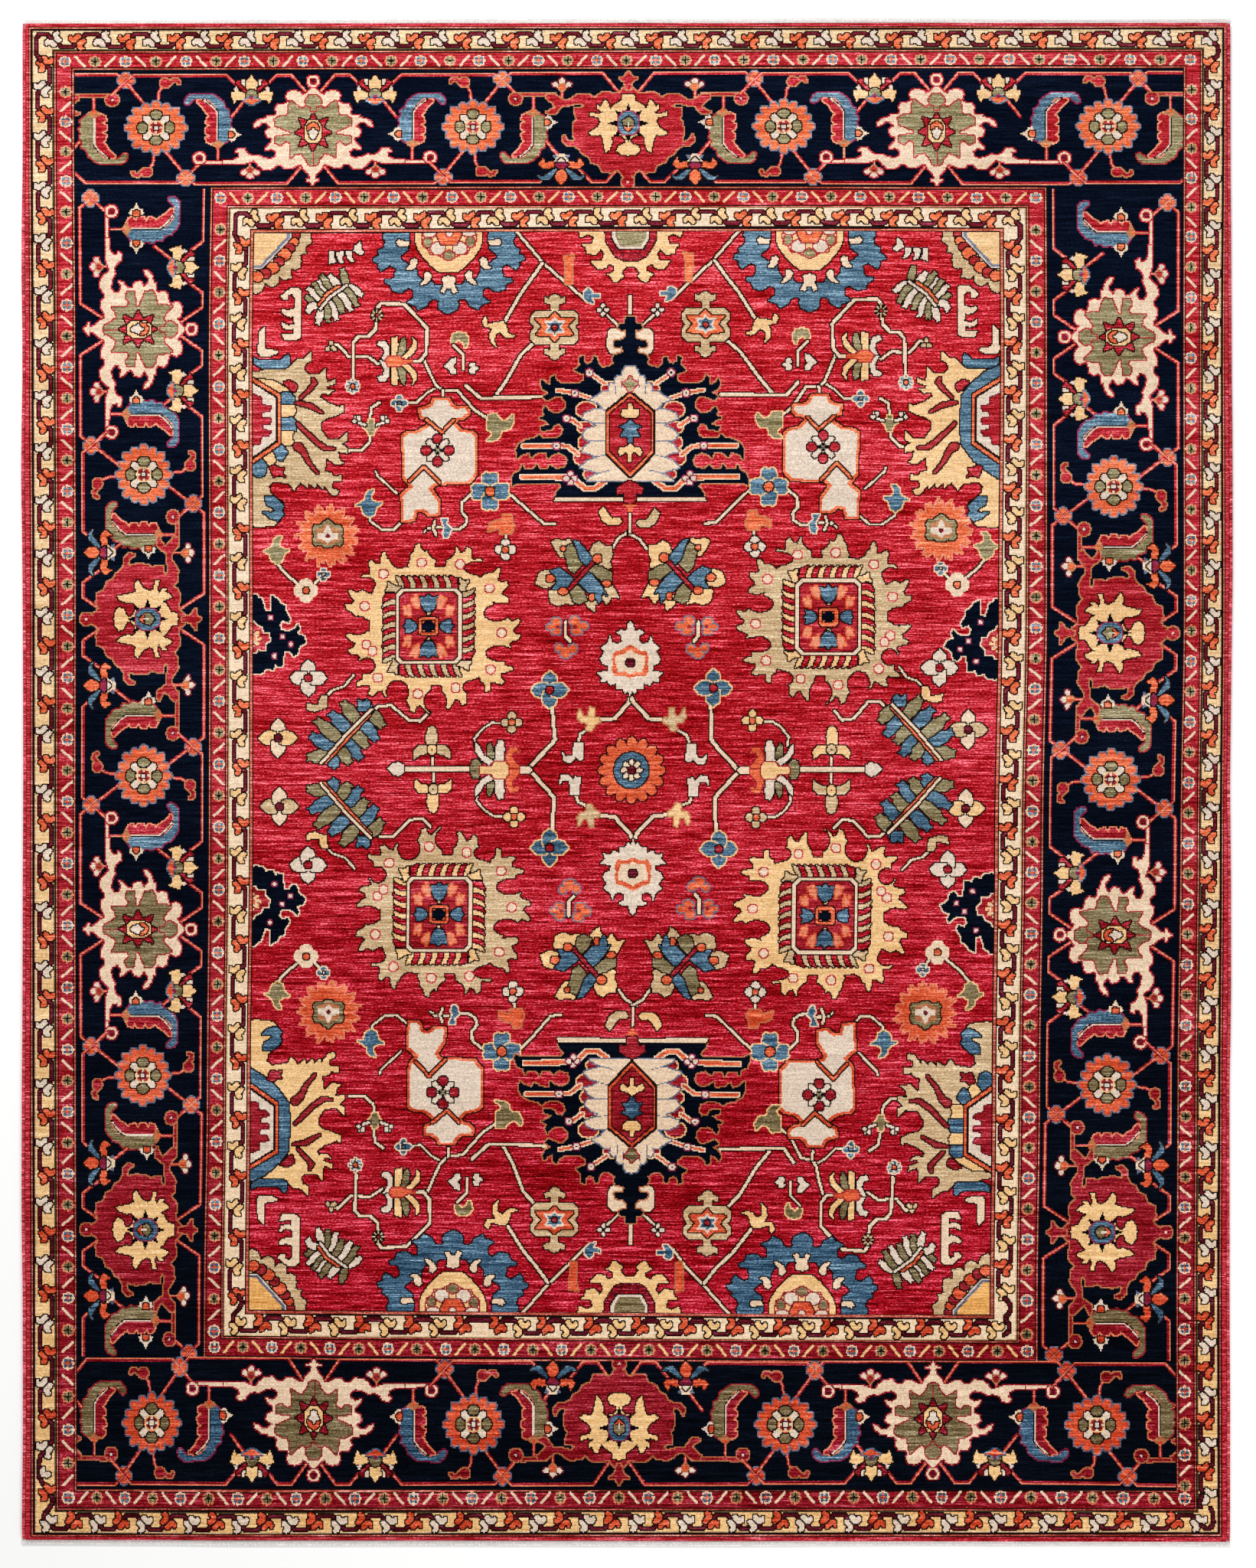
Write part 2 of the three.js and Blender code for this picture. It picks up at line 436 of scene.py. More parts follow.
def creamPalmette(pen):
    outline = [
        (0, 97), (11, 85), (22, 78), (26, 85), (38, 89), (50, 86), (55, 77), (50, 66), (54, 61), (70, 60),
        (77, 51), (73, 40), (77, 36), (93, 35), (91, 26), (80, 22), (84, 12), (97, 4), (93, -8), (82, -12),
        (84, -22), (94, -30), (97, -38), (84, -33), (73, -40), (74, -50), (84, -56), (100, -53), (112, -47),
        (127, -50), (128, -57), (118, -58), (110, -68), (100, -76), (84, -77), (73, -68), (62, -68),
        (56, -75), (44, -75), (32, -69), (22, -68), (17, -78), (6, -90), (4, -98), (16, -101), (5, -104),
        (0, -113),
    ]
    curl = [(78, 24), (92, 30), (106, 29), (118, 20), (121, 11), (112, 14), (104, 21), (94, 20), (84, 12)]
    arm = [
        (120, -50), (134, -44), (140, -34), (152, -33), (158, -40), (150, -42), (152, -52), (164, -59),
        (184, -59), (184, -65), (160, -66), (140, -65), (122, -59),
    ]
    hooks = [[(side * x, y) for x, y in shape] for side in (1, -1) for shape in (curl, arm)]
    pen.folded(outline, "cream", "crimson", hooks)
    ring(pen.at(0, 108), band="cream", edge="crimson")
    pen.pair([
        (0, 60), (14, 56), (21, 50), (30, 54), (46, 69), (50, 52), (51, 37), (64, 36), (78, 28), (76, 15),
        (60, 8), (46, 2), (46, -5), (58, -6), (76, -9), (76, -21), (66, -26), (55, -17), (45, -22),
        (46, -55), (36, -46), (23, -44), (14, -55), (9, -67), (0, -71),
    ], "sage", "brick")
    pen.patch([
        (-16, 66), (-8, 78), (8, 78), (17, 66), (14, 58), (5, 54), (4, 46), (-4, 46), (-5, 54), (-14, 58),
    ], "sage", "brick")
    eightStar(pen, "crimson", "umber", 38, 40, 22, 25, 1.1)
    pen.folded([(9, 25), (17, 12), (17, -12), (8, -23)], "maize")
    pen.patch([(-10, 16), (0, 22), (10, 16), (13, 4), (0, 10), (-13, 4)], "orange")
    pen.folded([(0, 12), (4, 4), (11, 2), (7, -5), (5, -12), (0, -15)], "ivory")


def redPalmette(pen):
    pen.folded([
        (0, 80), (10, 74), (20, 62), (34, 64), (50, 66), (60, 60), (68, 52), (78, 60), (98, 62), (106, 58),
        (120, 48), (130, 48), (140, 54), (150, 62), (164, 62), (166, 54), (154, 44), (146, 34), (160, 26),
        (168, 24), (160, 20), (148, 20), (140, 30), (134, 38), (120, 38), (104, 42), (94, 42), (88, 36),
        (96, 32), (108, 32), (108, 22), (104, 8), (110, 0), (112, -20), (108, -36), (112, -40), (124, -36),
        (130, -24), (134, -36), (122, -48), (108, -48), (98, -54), (92, -64), (80, -70), (74, -82),
        (58, -88), (52, -102), (34, -104), (22, -98), (14, -104), (10, -112),
    ], "crimson", "tan")
    pen.folded([(0, 110), (8, 98), (22, 98), (8, 88), (4, 70)], "crimson", "tan")
    ring(pen.at(0, -124), band="crimson", edge="tan", core="crimson", eye="ivory")
    pen.line([(0, -100), (0, -112)], 14, "crimson", None)
    pen.folded([
        (0, 62), (12, 60), (14, 48), (30, 38), (36, 30), (44, 50), (50, 46), (56, 34), (62, 40), (62, 30),
        (50, 22), (64, 20), (78, 24), (78, 16), (60, 12), (56, 4), (62, -8), (80, -20), (72, -26),
        (56, -24), (52, -32), (46, -62), (38, -56), (32, -40), (34, -30), (28, -24), (14, -26), (4, -34),
        (6, -42), (20, -48), (24, -58), (14, -66), (0, -68),
    ], "maize")
    eightStar(pen, "black", None, 42, 42, 20, 22, 0.95)
    pen.folded([(8, 25), (21, 11), (21, -11), (10, -24)], "blue", "rose")
    pen.folded([(0, 18), (12, 8), (14, -2), (8, -14), (0, -20)], "umber", None)
    pen.patch([(0, 14), (12, 5), (10, -4), (-10, -4), (-12, 5)], "sage")
    pen.patch([(0, -18), (12, -4), (0, -10), (-12, -4)], "orange", None)
    pen.line([(0, 2), (0, -8)], 3, "ivory", None)


# What lies between a rosette's middle and the palmette on its left, whose ring side is up
def betweenMotifs(pen, reach, kind, lift, beside, atCorner):
    start = -reach
    pale = kind == "cream"
    band, bandEdge = ("cream", "crimson") if pale else ("crimson", "tan")
    vine(pen, [(start + 10, 72), (start + 44, lift), (start + 74, lift), (start + 98, 88)])
    vine(pen, [(start + 152, 88), (start + 178, lift), (44, lift), (60, 100), (18, 46)])
    low = -lift - 3
    vine(pen, [(start + 22, -78), (start + 52, low), (-78, low), (-60, -102), (-88, -70)], -1.3)
    vine(pen, [(60, 100), (88, 70)])
    xFlower(pen.at(-59, -103))
    vine(pen, [(start + 140, 60), (start + 168, 24)])
    pen.line([(start + 150, -70), (-97, -71)], 5.5, band, bandEdge)
    ring(pen.at(-86, -62), band, bandEdge, eye=None if pale else "ivory")
    twig(pen, [(-122, -64), (-122, -40)])
    back = pen.at(-122, -34, flip=True)
    leaf(back, *(("blue", "rose") if pale else ("sage", "brick")))
    if atCorner:
        return
    leafFlower(pen.at(-148, -12, turn=90), "cream" if pale else "ivory")
    if beside:
        leafFlower(pen.at(-92, -12, turn=-90), "cream" if pale else "ivory")
    if pale:
        lily(pen.at(start + 125, 72))
        sprig(pen.at(start + 127, -84), "brick", "crimson")
    else:
        blueLily(pen.at(start + 135, 76, turn=180))
        sprig(pen.at(start + 134, -84), "orange", "maroon")


# The four runs of the main border: where each lies, and its motifs from the left or from the head
borderRuns = dict(
    head=dict(middle=(0, 1308), step=(1, 0), turn=0, flip=False, lift=113, motifs=[
        (-1270, "red"), (-953, "rosette"), (-635, "cream"), (-312, "rosette"), (2, "red"),
        (316, "rosette"), (625, "cream"), (966, "rosette"), (1285, "red"),
    ]),
    foot=dict(middle=(0, -1304), step=(1, 0), turn=180, flip=True, lift=117, motifs=[
        (-1270, "red"), (-954, "rosette"), (-619, "cream"), (-295, "rosette"), (0, "red"),
        (337, "rosette"), (636, "cream"), (960, "rosette"), (1270, "red"),
    ]),
    left=dict(middle=(-979, 0), step=(0, -1), turn=-90, flip=False, lift=121, motifs=[
        (-1222, "none"), (-897, "cream"), (-602, "rosette"), (-309, "red"), (9, "rosette"),
        (320, "cream"), (617, "rosette"), (930, "red"), (1235, "none"),
    ]),
    right=dict(middle=(979, 0), step=(0, -1), turn=90, flip=True, lift=121, motifs=[
        (-1212, "none"), (-880, "cream"), (-578, "rosette"), (-283, "red"), (12, "rosette"),
        (326, "cream"), (628, "rosette"), (925, "red"), (1230, "none"),
    ]),
)
borderGround = dict(innerX=841, outerX=1112, innerY=1182, outerY=1431)  # half sizes of the dark band
cornerFrom = 1240  # palmettes that lie further along than this stand in a corner


def borderPen(run, place, flip=False, turn=0):
    (x, y), (stepX, stepY) = run["middle"], run["step"]
    pen = Pen(x + stepX * place, y + stepY * place, run["turn"], run["flip"])
    return pen.at(0, 0, turn=turn, flip=flip)


def knotRun(run):
    motifs = run["motifs"]
    neighbours = zip(motifs, [None] + motifs[:-1], motifs[1:] + [None])
    for (place, kind), before, after in neighbours:
        if kind not in ("rosette", "none"):
            continue
        for other, toRight in ((before, False), (after, True)):
            if other:
                red = other[1] == "red"
                pen = borderPen(run, place, toRight != red, 180 if red else 0)
                atCorner = abs(other[0]) > cornerFrom
                betweenMotifs(pen, abs(other[0] - place), other[1], run["lift"], kind == "none", atCorner)
        if kind == "rosette":
            rosetteAndBuds(borderPen(run, place, before[1] != "cream").at(0, 3))
    for place, kind in motifs:
        if kind == "cream":
            creamPalmette(borderPen(run, place).at(0, -8))
        if kind == "red":
            redPalmette(borderPen(run, place).at(0, 10))


# The end borders run the full width, and the side borders stop against them
def mainBorder(ground):
    across, along = np.abs(knotX)[None, :], np.abs(knotY)[:, None]
    for name, run in borderRuns.items():
        if name in ("head", "foot"):
            window[:] = across < ground["outerX"]
            window[:] = window & (along > ground["innerY"]) & (along < ground["outerY"])
        else:
            window[:] = along < ground["innerY"]
            window[:] = window & (across > ground["innerX"]) & (across < ground["outerX"])
        knotRun(run)
    window[:] = True


# The plain bands under everything, from the outside in: yarn, and half sizes in knots across and along

bands = [
    ("scarlet", 600, 700), ("umber", 502.5, 635.5), ("coral", 501.5, 634.5), ("umber", 500.5, 633.5),
    ("straw", 498.5, 631.5), ("wheat", 497.5, 630.5), ("olive", 482.5, 615.5), ("umber", 481.5, 614.5),
    ("coral", 480.5, 613.5), ("umber", 479.5, 612.5), ("crimson", 478.5, 611.5), ("umber", 466.5, 599.5),
    ("coral", 465.5, 598.5), ("umber", 464.5, 597.5), ("navy", 463.5, 596.5), ("umber", 352.5, 494.5),
    ("coral", 351.5, 493.5), ("umber", 350.5, 492.5), ("crimson", 349.5, 491.5), ("umber", 337.5, 478.5),
    ("coral", 336.5, 477.5), ("umber", 335.5, 476.5), ("straw", 334.5, 475.5), ("linen", 333.5, 474.5),
    ("umber", 316.5, 458.5), ("coral", 315.5, 457.5), ("umber", 313.5, 455.5), ("madder", 312.5, 454.5),
]


def bandGround():
    for yarn, across, along in bands:
        inside = np.ix_(np.abs(knotY) < along * pitch, np.abs(knotX) < across * pitch)
        chart[inside] = yarnNumber[yarn]


# The guards round the main border: two pale ones with leafy stems, and two red ones with bars

def guardRosette(pen, rim, ground, petal, cross, eye):
    for arm in pen.turned(8):
        arm.oval(0, 9.4, 4, 3.6, rim, None)
    pen.oval(0, 0, 9.8, 9.8, ground, None)
    for arm in pen.turned(4, 45):
        arm.oval(0, 6.6, 3.9, 3.4, petal, None)
    for arm in pen.turned(4):
        arm.line([(0, 0), (0, 8.5)], 2, cross, None)
    pen.oval(0, 0, 3.2, 3.2, eye, None)


# A leaf with a curled end, which lies beside the stem
def guardLeaf(pen, yarn):
    pen.patch([
        (-2, 1), (-9, 3), (-11, 9), (-6, 12), (1, 11.5), (4, 14), (3, 17), (5, 20), (10, 18), (13, 13),
        (12, 7), (6, 1),
    ], yarn)


def guardFlower(pen, yarn):
    for leafPen in (pen, pen.at(0, 0, 180, flip=True)):
        guardLeaf(leafPen, yarn)


barRoom = 40  # flowers nearer than this to each other have no bar between them


# A slanting bar lies between each two flowers
def redGuard(pen, stops, bars):
    for (place, kind), (after, _) in zip(stops, stops[1:]):
        if after - place > barRoom:
            middle = (place + after) / 2
            lean = 10 if kind == "blue" else -10
            pen.line([(middle - 9, lean), (middle + 9, -lean)], 5, bars, None)
    for place, kind in stops:
        if kind == "blue":
            guardRosette(pen.at(place, 0), "cream", "cream", "blue", "orange", "orange")
        else:
            guardRosette(pen.at(place, 0), "peach", "straw", "sage", "umber", "umber")


# Stems swing from flower to flower, by turns on the inner and the outer side
def paleGuard(pen, stops, pale):
    for (place, kind), (after, _) in zip(stops, stops[1:]):
        side = 1 if kind == "pale" else -1
        pen.line([
            (place + 4, 4 * side), (place + 13, 12.5 * side),
            (after - 13, 12.5 * side), (after - 4, 4 * side),
        ], 5, "maroon")
    for place, kind in stops:
        if kind == "pale":
            guardFlower(pen.at(place, 0, 45), pale)
        else:
            guardFlower(pen.at(place, 0, -45), "orange")


guardSides = dict(
    head=(0, 1, 0, True),
    left=(-1, 0, 90, True),
    foot=(0, -1, 180, True),
    right=(1, 0, -90, False),
)
# Each guard's side, middle line, yarn of the pale flowers or of the bars, and runs of flowers. A run has
# its first and last place, how many spaces lie between them, and the kind of its first flower

paleGuards = [
    ("left", 1175, "ivory", [(-1449, -493, 18, "orange"), (-437, 1356, 30, "pale")]),
    ("right", 1175, "ivory", [(-1443, 1442, 59, "orange")]),
    ("head", 1495, "ivory", [(-1172, 1153, 48, "pale")]),
    ("foot", 1495, "ivory", [(-1172, 234, 28, "pale"), (275, 1156, 18, "pale")]),
    ("left", 779, "maize", [(-1069, -606, 9, "orange"), (-548, 1061, 27, "pale")]),
    ("right", 779, "maize", [(-1061, 1043, 43, "orange")]),
    ("head", 1119, "maize", [(-778, -188, 12, "pale"), (-134, 755, 18, "pale")]),
    ("foot", 1119, "maize", [(-777, -321, 9, "pale"), (-249, 759, 21, "orange")]),
]
redGuards = [
    ("head", 1451, "cream", [(-1128, 1132, 38, "blue")]),
    ("foot", 1449, "cream", [(-1130, 1130, 38, "blue")]),
    ("left", 1131, "cream", [(-1387, 1384, 44, "green"), (1449, 1449, 0, "blue")]),
    ("right", 1131, "cream", [(-1388, 1364, 45, "green"), (1424, 1424, 0, "green")]),
    ("head", 1163, "maize", [(-823, 824, 28, "blue")]),
    ("foot", 1163, "maize", [(-822, 824, 28, "blue")]),
    ("left", 823, "cream", [(-1099, 1133, 35, "green")]),
    ("right", 823, "cream", [(-1095, 1063, 35, "green"), (1130, 1130, 0, "green")]),
]
cornerStems = [  # where the stems go round a corner
    [(-1158, 1500), (-1168, 1508), (-1184, 1508), (-1188.5, 1500), (-1188.5, 1466), (-1180, 1454)],
    [(1180, 1487), (1186, 1480), (1188.5, 1470), (1186, 1460), (1180, 1454)],
    [(-1180, -1365), (-1187, -1372), (-1188.5, -1385), (-1188.5, -1410), (-1180, -1425)],
    [(-1166, -1444), (-1160, -1455), (-1166, -1467), (-1178, -1480), (-1180, -1490)],
    [(1165, -1444), (1160, -1455), (1162, -1466)],
    [(1164, -1502), (1172, -1508), (1184, -1507), (1188, -1496), (1186, -1476), (1182, -1468)],
    [(-760, 1124), (-770, 1132), (-784, 1132), (-791, 1126), (-792, 1090), (-784, 1074)],
    [(784, 1112), (792, 1104), (792, 1080), (784, 1068)],
    [(-773, -1062), (-765, -1076), (-772, -1090), (-784, -1102), (-784, -1112)],
    [(780, -1058), (790, -1070), (790, -1085), (780, -1098), (788, -1110), (788, -1124), (778, -1131)],
]


def guardPen(side, middle):
    x, y, turn, flip = guardSides[side]
    return Pen(x * middle, y * middle, turn, flip)


def guardStops(runs, kinds):
    stops = []
    for first, last, spaces, firstKind in runs:
        start = kinds.index(firstKind)
        gap = (last - first) / max(spaces, 1)
        stops += [(first + gap * k, kinds[(start + k) % 2]) for k in range(spaces + 1)]
    return stops


def guards():
    for side, middle, pale, runs in paleGuards:
        paleGuard(guardPen(side, middle), guardStops(runs, ("pale", "orange")), pale)
    for side, middle, bars, runs in redGuards:
        redGuard(guardPen(side, middle), guardStops(runs, ("blue", "green")), bars)
    for points in cornerStems:
        Pen().line(points, 5, "maroon")
    footCorner = guardPen("left", 1175)
    guardFlower(footCorner.at(1437, 0, -45), "orange")
    guardLeaf(footCorner.at(1412, 2, 100), "ivory")


# Motifs of the red field

def stem(pen, points, width=5, yarn="cream"):
    pen.line(points, width, yarn)


def petals(pen, count, reach, a, b, yarn, edge="umber"):
    for arm in pen.turned(count):
        arm.oval(0, reach, a, b, yarn, edge)


# Leaflets on either side of a slanting midrib: where each springs from it, and its tip
def leafSpray(pen, spine, leaflets, yarns, width):
    shape = [
        (0, 0.34), (0.3, 0.62), (0.66, 0.62), (0.84, 0.34), (1, 0.42), (0.94, 0.02), (0.98, -0.26),
        (0.8, -0.28), (0.6, -0.5), (0.28, -0.46), (0, -0.34),
    ]
    for k, (share, tipX, tipY) in enumerate(leaflets):
        x, y = spine[0] * share, spine[1] * share
        dx, dy = tipX - x, tipY - y
        thick = width / hypot(dx, dy)
        outline = [(x + dx * u - dy * v * thick, y + dy * u + dx * v * thick) for u, v in shape]
        pen.patch(outline, yarns[k % 2])


ivoryCombShapes = [
    [(-8, -1), (2, -1), (1, -13), (6, -22), (-8, -26)],
    [(5, -2), (20, -1), (18, -14), (20, -26), (12, -22), (8, -14)],
    [(24, -1), (38, 0), (37, -14), (42, -22), (32, -20), (27, -12)],
    [(40, 0), (42, 10), (52, 19), (55, 15), (55, 5), (63, -3), (54, -8), (48, -4)],
]


def ivoryComb(pen):
    for shape in ivoryCombShapes:
        pen.patch(shape, "ivory")


# The great ring of claws round a box with saw teeth

ringClaw = [
    (-27, -26), (-25, -8), (-36, 4), (-42, 20), (-34, 23), (-22, 15), (-16, 22), (-12, 35), (-4, 38),
    (-1, 26), (7, 21), (13, 28), (26, 38), (28, 32), (23, 20), (31, 10), (26, -4), (25, -26),
]
ringBand = [
    (-90, 118), (70, 118), (118, 88), (130, 40), (130, -60), (100, -104), (60, -118), (-66, -118),
    (-112, -84), (-118, -40), (-116, 60),
]
ringClaws = [  # place and turn of each
    (-14, 129, 0), (63, 125, -18), (-91, 106, 35), (123, 76, -62), (-129, 41, 80), (147, -14, -92),
    (-125, -37, 100), (125, -88, -125), (-102, -104, 145), (-21, -137, 176), (55, -125, 196),
]
ringBays = [  # round bays between the claws: place and half sizes
    (26, 158, 30, 27), (-58, 141, 22, 25), (100, 117, 30, 15), (138, 26, 28, 18), (144, -56, 30, 17),
    (92, -124, 24, 16), (14, -152, 24, 26), (-62, -134, 24, 26), (-124, -80, 18, 18),
    (-142, 2, 24, 20), (-126, 86, 20, 15),
]
ringBox = mirrored([(55, 76), (66, 65), (66, -65), (55, -76)])
teethRows = ((0, 60, 76, 5), (90, 68, 66, 6), (180, 60, 76, 5), (270, 68, 66, 6))  # turn, sizes, count
tooth = [(-6, -3), (-6, 10), (-13, 27), (3, 20), (6, -3)]


# Leaning teeth round the middle box, red and pale by turns, with a hooked leaf at each corner
def sawTeeth(pen, yarn):
    for turn, wide, low, count in teethRows:
        row = pen.at(0, 0, turn=turn)
        for k in range(2 * count):
            x = -wide + wide / count * (k + 0.5)
            row.at(x, low).patch(tooth, "madder" if k % 2 else yarn)
        row.at(wide, low).patch([(0, -3), (4, 8), (2, 22), (12, 15), (22, 16), (14, 2), (12, -10)], yarn)


def ringPalmette(pen, body, teeth):
    claws = [Pen(x, y, turn, flip=k % 2 == 1).map(ringClaw) for k, (x, y, turn) in enumerate(ringClaws)]
    pen.patch(ringBand, body, "umber", claws, [ovalPoints(*bay) for bay in ringBays])
    for x, y, _ in ringClaws + [(-113, -50, 0)]:
        pen.oval(x, y, 8.4, 8, "cream", "scarlet")
    sawTeeth(pen, teeth)
    pen.patch(ringBox, "cream")
    pen.patch([(x * 0.88, y * 0.9) for x, y in ringBox], "crimson")
    for k, arm in enumerate(pen.turned(4)):
        upright = k % 2 == 0
        reach = 46 if upright else 36
        if upright:
            arm.patch([(-9, 34), (0, 22), (9, 34), (0, 30)], "straw")
        arm.at(0, reach, size=1.2 if upright else 0.9).folded([
            (0, 16), (5, 10), (15, 12), (14, 2), (8, -10), (0, -14),
        ], "blue")
    for end in pen.turned(2):
        for half in end.both():
            half.patch([(19, 36), (29, 42), (36, 58), (29, 55), (26, 64), (19, 52)], "peach", "orange")
            half.patch([(36, 20), (48, 24), (50, 40), (43, 33), (41, 45), (35, 30)], "peach", "orange")
    pen.folded([(14, 18), (19, 14), (19, -14), (14, -18)], "orange")
    pen.patch([(-11, 10), (11, 10), (11, -10), (-11, -10)], "navy")
    for x, y in ((-10, 9), (10, 9), (10, -9), (-10, -9)):
        pen.oval(x, y, 2, 2, "orange", None)


# One flame of the orange flower: how far along its share of the ring, and how far out
flameShape = ((-0.42, 45), (-0.2, 54), (0.05, 66), (0, 56), (0.22, 52), (0.3, 61), (0.38, 50))
flameCount = 15


def orangeFlame(pen):
    outline = []
    for k in range(flameCount):
        for along, reach in flameShape:
            angle = 2 * pi * (k + along) / flameCount + 0.2
            outline.append((reach * cos(angle), reach * sin(angle)))
    pen.patch(outline, "orange", "peach")
    pen.folded([
        (0, 34), (8, 28), (14, 22), (26, 22), (31, 12), (28, 0), (31, -12), (26, -20), (14, -18), (6, -23),
        (0, -23),
    ], "sage")
    pen.folded([(0, 26), (8, 18), (22, 14), (22, -12), (8, -16), (0, -20)], "tan", None)
    pen.folded([(0, 22), (5, 16), (8, 7), (21, 5), (21, -6), (8, -8), (0, -15)], "ivory", None)
    pen.oval(0, 0, 5, 5, "maroon", None)


# A cross of four pointed petals, the level ones in another yarn where one is given
def pointedCross(pen, yarn, edge, eye="crimson", level=None, reach=38):
    petal = [
        (-12, 4), (-14, 12), (-14, 22), (-11, 29), (-4, reach - 4), (0, reach), (4, reach - 4), (11, 29),
        (14, 22), (14, 12), (12, 4),
    ]
    for k, arm in enumerate(pen.turned(4)):
        arm.patch(petal, level if level and k % 2 else yarn, edge)
    if not level:
        pen.patch([(-11, -11), (11, -11), (11, 11), (-11, 11)], yarn, None)
    pen.oval(0, 0, 7, 7, eye)


def roundCross(pen, yarn, edge, reach, r, eye, eyeSize, long=0):
    petals(pen, 4, reach, r, r + long, yarn, edge)
    pen.oval(0, 0, eyeSize, eyeSize, eye)


def squareCross(pen):
    petal = mirrored([(0, 35), (8, 38), (15, 33), (16, 14), (10, 4)])
    for arm in pen.turned(4):
        arm.patch(petal, "blue", "maize")
    pen.oval(0, 0, 9, 9, "orange")


def cornerMedallion(pen, heart):
    pen.patch([
        (113, 6), (113, -12), (116, -19), (106, -25), (102, -33), (105, -41), (92, -44), (95, -57),
        (94, -70), (84, -75), (74, -72), (76, -92), (60, -95), (50, -87), (50, -102), (38, -110),
        (23, -102), (17, -117), (5, -124), (-5, -117), (-5, 6),
    ], "straw")
    for k, (x, y, radius) in enumerate((
        (82, -5, 9), (79, -19, 9), (71, -31, 10), (61, -44, 13), (50, -59, 10), (38, -71, 12),
        (23, -83, 11), (8, -89, 11),
    )):
        pen.oval(x, y, radius, radius * 0.9, "brick" if k % 2 == 0 else "orange")
    for step, yarn in ((8, "umber"), (5.5, "ivory"), (3, "slate"), (-2.4, heart)):
        pen.patch([
            (68 + step, 6), (68 + step, -9 - step * 0.4), (14 + step * 0.4, -68 - step),
            (-5, -68 - step), (-5, 6),
        ], yarn, None)


# Blue palmette cut by the field's end; pen at its middle, it hangs down
def halfPalmette(pen):
    pen.folded([
        (0, -165), (8, -162), (18, -156), (21, -147), (18, -138), (28, -135), (38, -138), (43, -149),
        (60, -157), (65, -149), (83, -142), (70, -132), (70, -116), (80, -112), (96, -122), (112, -118),
        (118, -105), (128, -102), (127, -96), (110, -93), (106, -72), (118, -66), (136, -78), (143, -68),
        (140, -62), (153, -58), (150, -50), (140, -46), (143, -37), (131, -30), (128, -18), (133, -10),
        (130, 6),
    ], "blue")
    pen.folded([
        (0, -104), (26, -104), (34, -92), (50, -96), (60, -84), (62, -72), (80, -62), (96, -50), (80, -38),
        (76, -20), (78, 6),
    ], "madder")
    for half in pen.both():
        half.patch([(33, -87), (41, -79), (48, -82), (48, -94), (58, -107), (47, -105), (38, -98)], "cream")
        half.patch([(62, -57), (68, -52), (76, -55), (79, -67), (87, -74), (74, -76), (66, -70)], "cream")
        half.patch([(78, -17), (86, -19), (100, -14), (106, -20), (102, -27), (83, -28)], "cream")
    pen.patch([
        (-13, -92), (0, -88), (13, -92), (12, -107), (18, -120), (9, -124), (5, -113), (-4, -113),
        (-8, -123), (-16, -120), (-10, -107),
    ], "cream")
    pen.folded([(0, -80), (20, -80), (35, -68), (50, -52), (62, -35), (67, -20), (67, 6)], "maize")
    pen.folded([
        (0, -54), (12, -50), (22, -45), (36, -44), (42, -32), (52, -26), (54, -12), (52, 6),
    ], "maize", "brick")
    for half in pen.both():
        half.oval(22, -33, 14, 12, "ivory", "brick")
        half.oval(43, -20, 8, 10, "sage", "brick")
        half.oval(40, -2, 12, 7, "ivory", "brick")
    pen.folded([(0, -38), (10, -42), (12, -50), (5, -54), (0, -57)], "sage", "brick")
    pen.patch([(-14, 6), (-25, -5), (-15, -25), (15, -25), (25, -5), (14, 6)], "orange", "maroon")
    pen.oval(0, -3, 6, 5, "ivory", "brick")


def endPalmette(pen):
    pen.folded([
        (0, -74), (10, -74), (19, -86), (13, -92), (24, -102), (34, -106), (39, -94), (47, -89), (32, -82),
        (33, -72), (43, -67), (50, -76), (66, -79), (80, -62), (58, -62), (53, -47), (60, -37), (70, -49),
        (88, -47), (91, -34), (99, -29), (78, -27), (74, -13), (86, -7), (101, -14), (107, 6),
    ], "maize")
    pen.folded([(0, -60), (14, -60), (30, -53), (40, -38), (50, -20), (52, 6)], "madder")
    for half in pen.both():
        for x, y in ((8, -52), (26, -46), (37, -30), (44, -12)):
            half.oval(x, y, 7, 6, "crimson", "maroon")
    pen.folded([(0, -38), (24, -37), (37, -16), (37, 6)], "ivory")
    pen.folded([(0, -33), (21, -32), (31, -14), (31, 6)], "sage", None)


def ivorySpray(pen):
    leafSpray(
        pen, (50, 45),
        (
            (0.05, -34, 24), (0.2, -30, 42), (0.35, -18, 52), (0.5, -8, 58), (0.62, -4, 68), (0.8, 14, 68),
            (1.0, 40, 80), (1.0, 82, 24), (0.9, 72, 2), (0.7, 60, -8), (0.5, 42, -12), (0.3, 30, -26),
            (0.15, 12, -30), (0, -10, -34),
        ),
        ("sage", "ivory"), 13,
    )
    pen.patch([
        (-4, 6), (-16, 12), (-28, 6), (-33, -6), (-25, -15), (-20, -5), (-10, -1), (-2, -4),
    ], "ivory")
    pen.line([(-6, 6), (10, 28), (34, 44)], 4.8, "orange")
    pen.line([(-3, -2), (16, 22), (50, 46)], 4.8, "ivory")


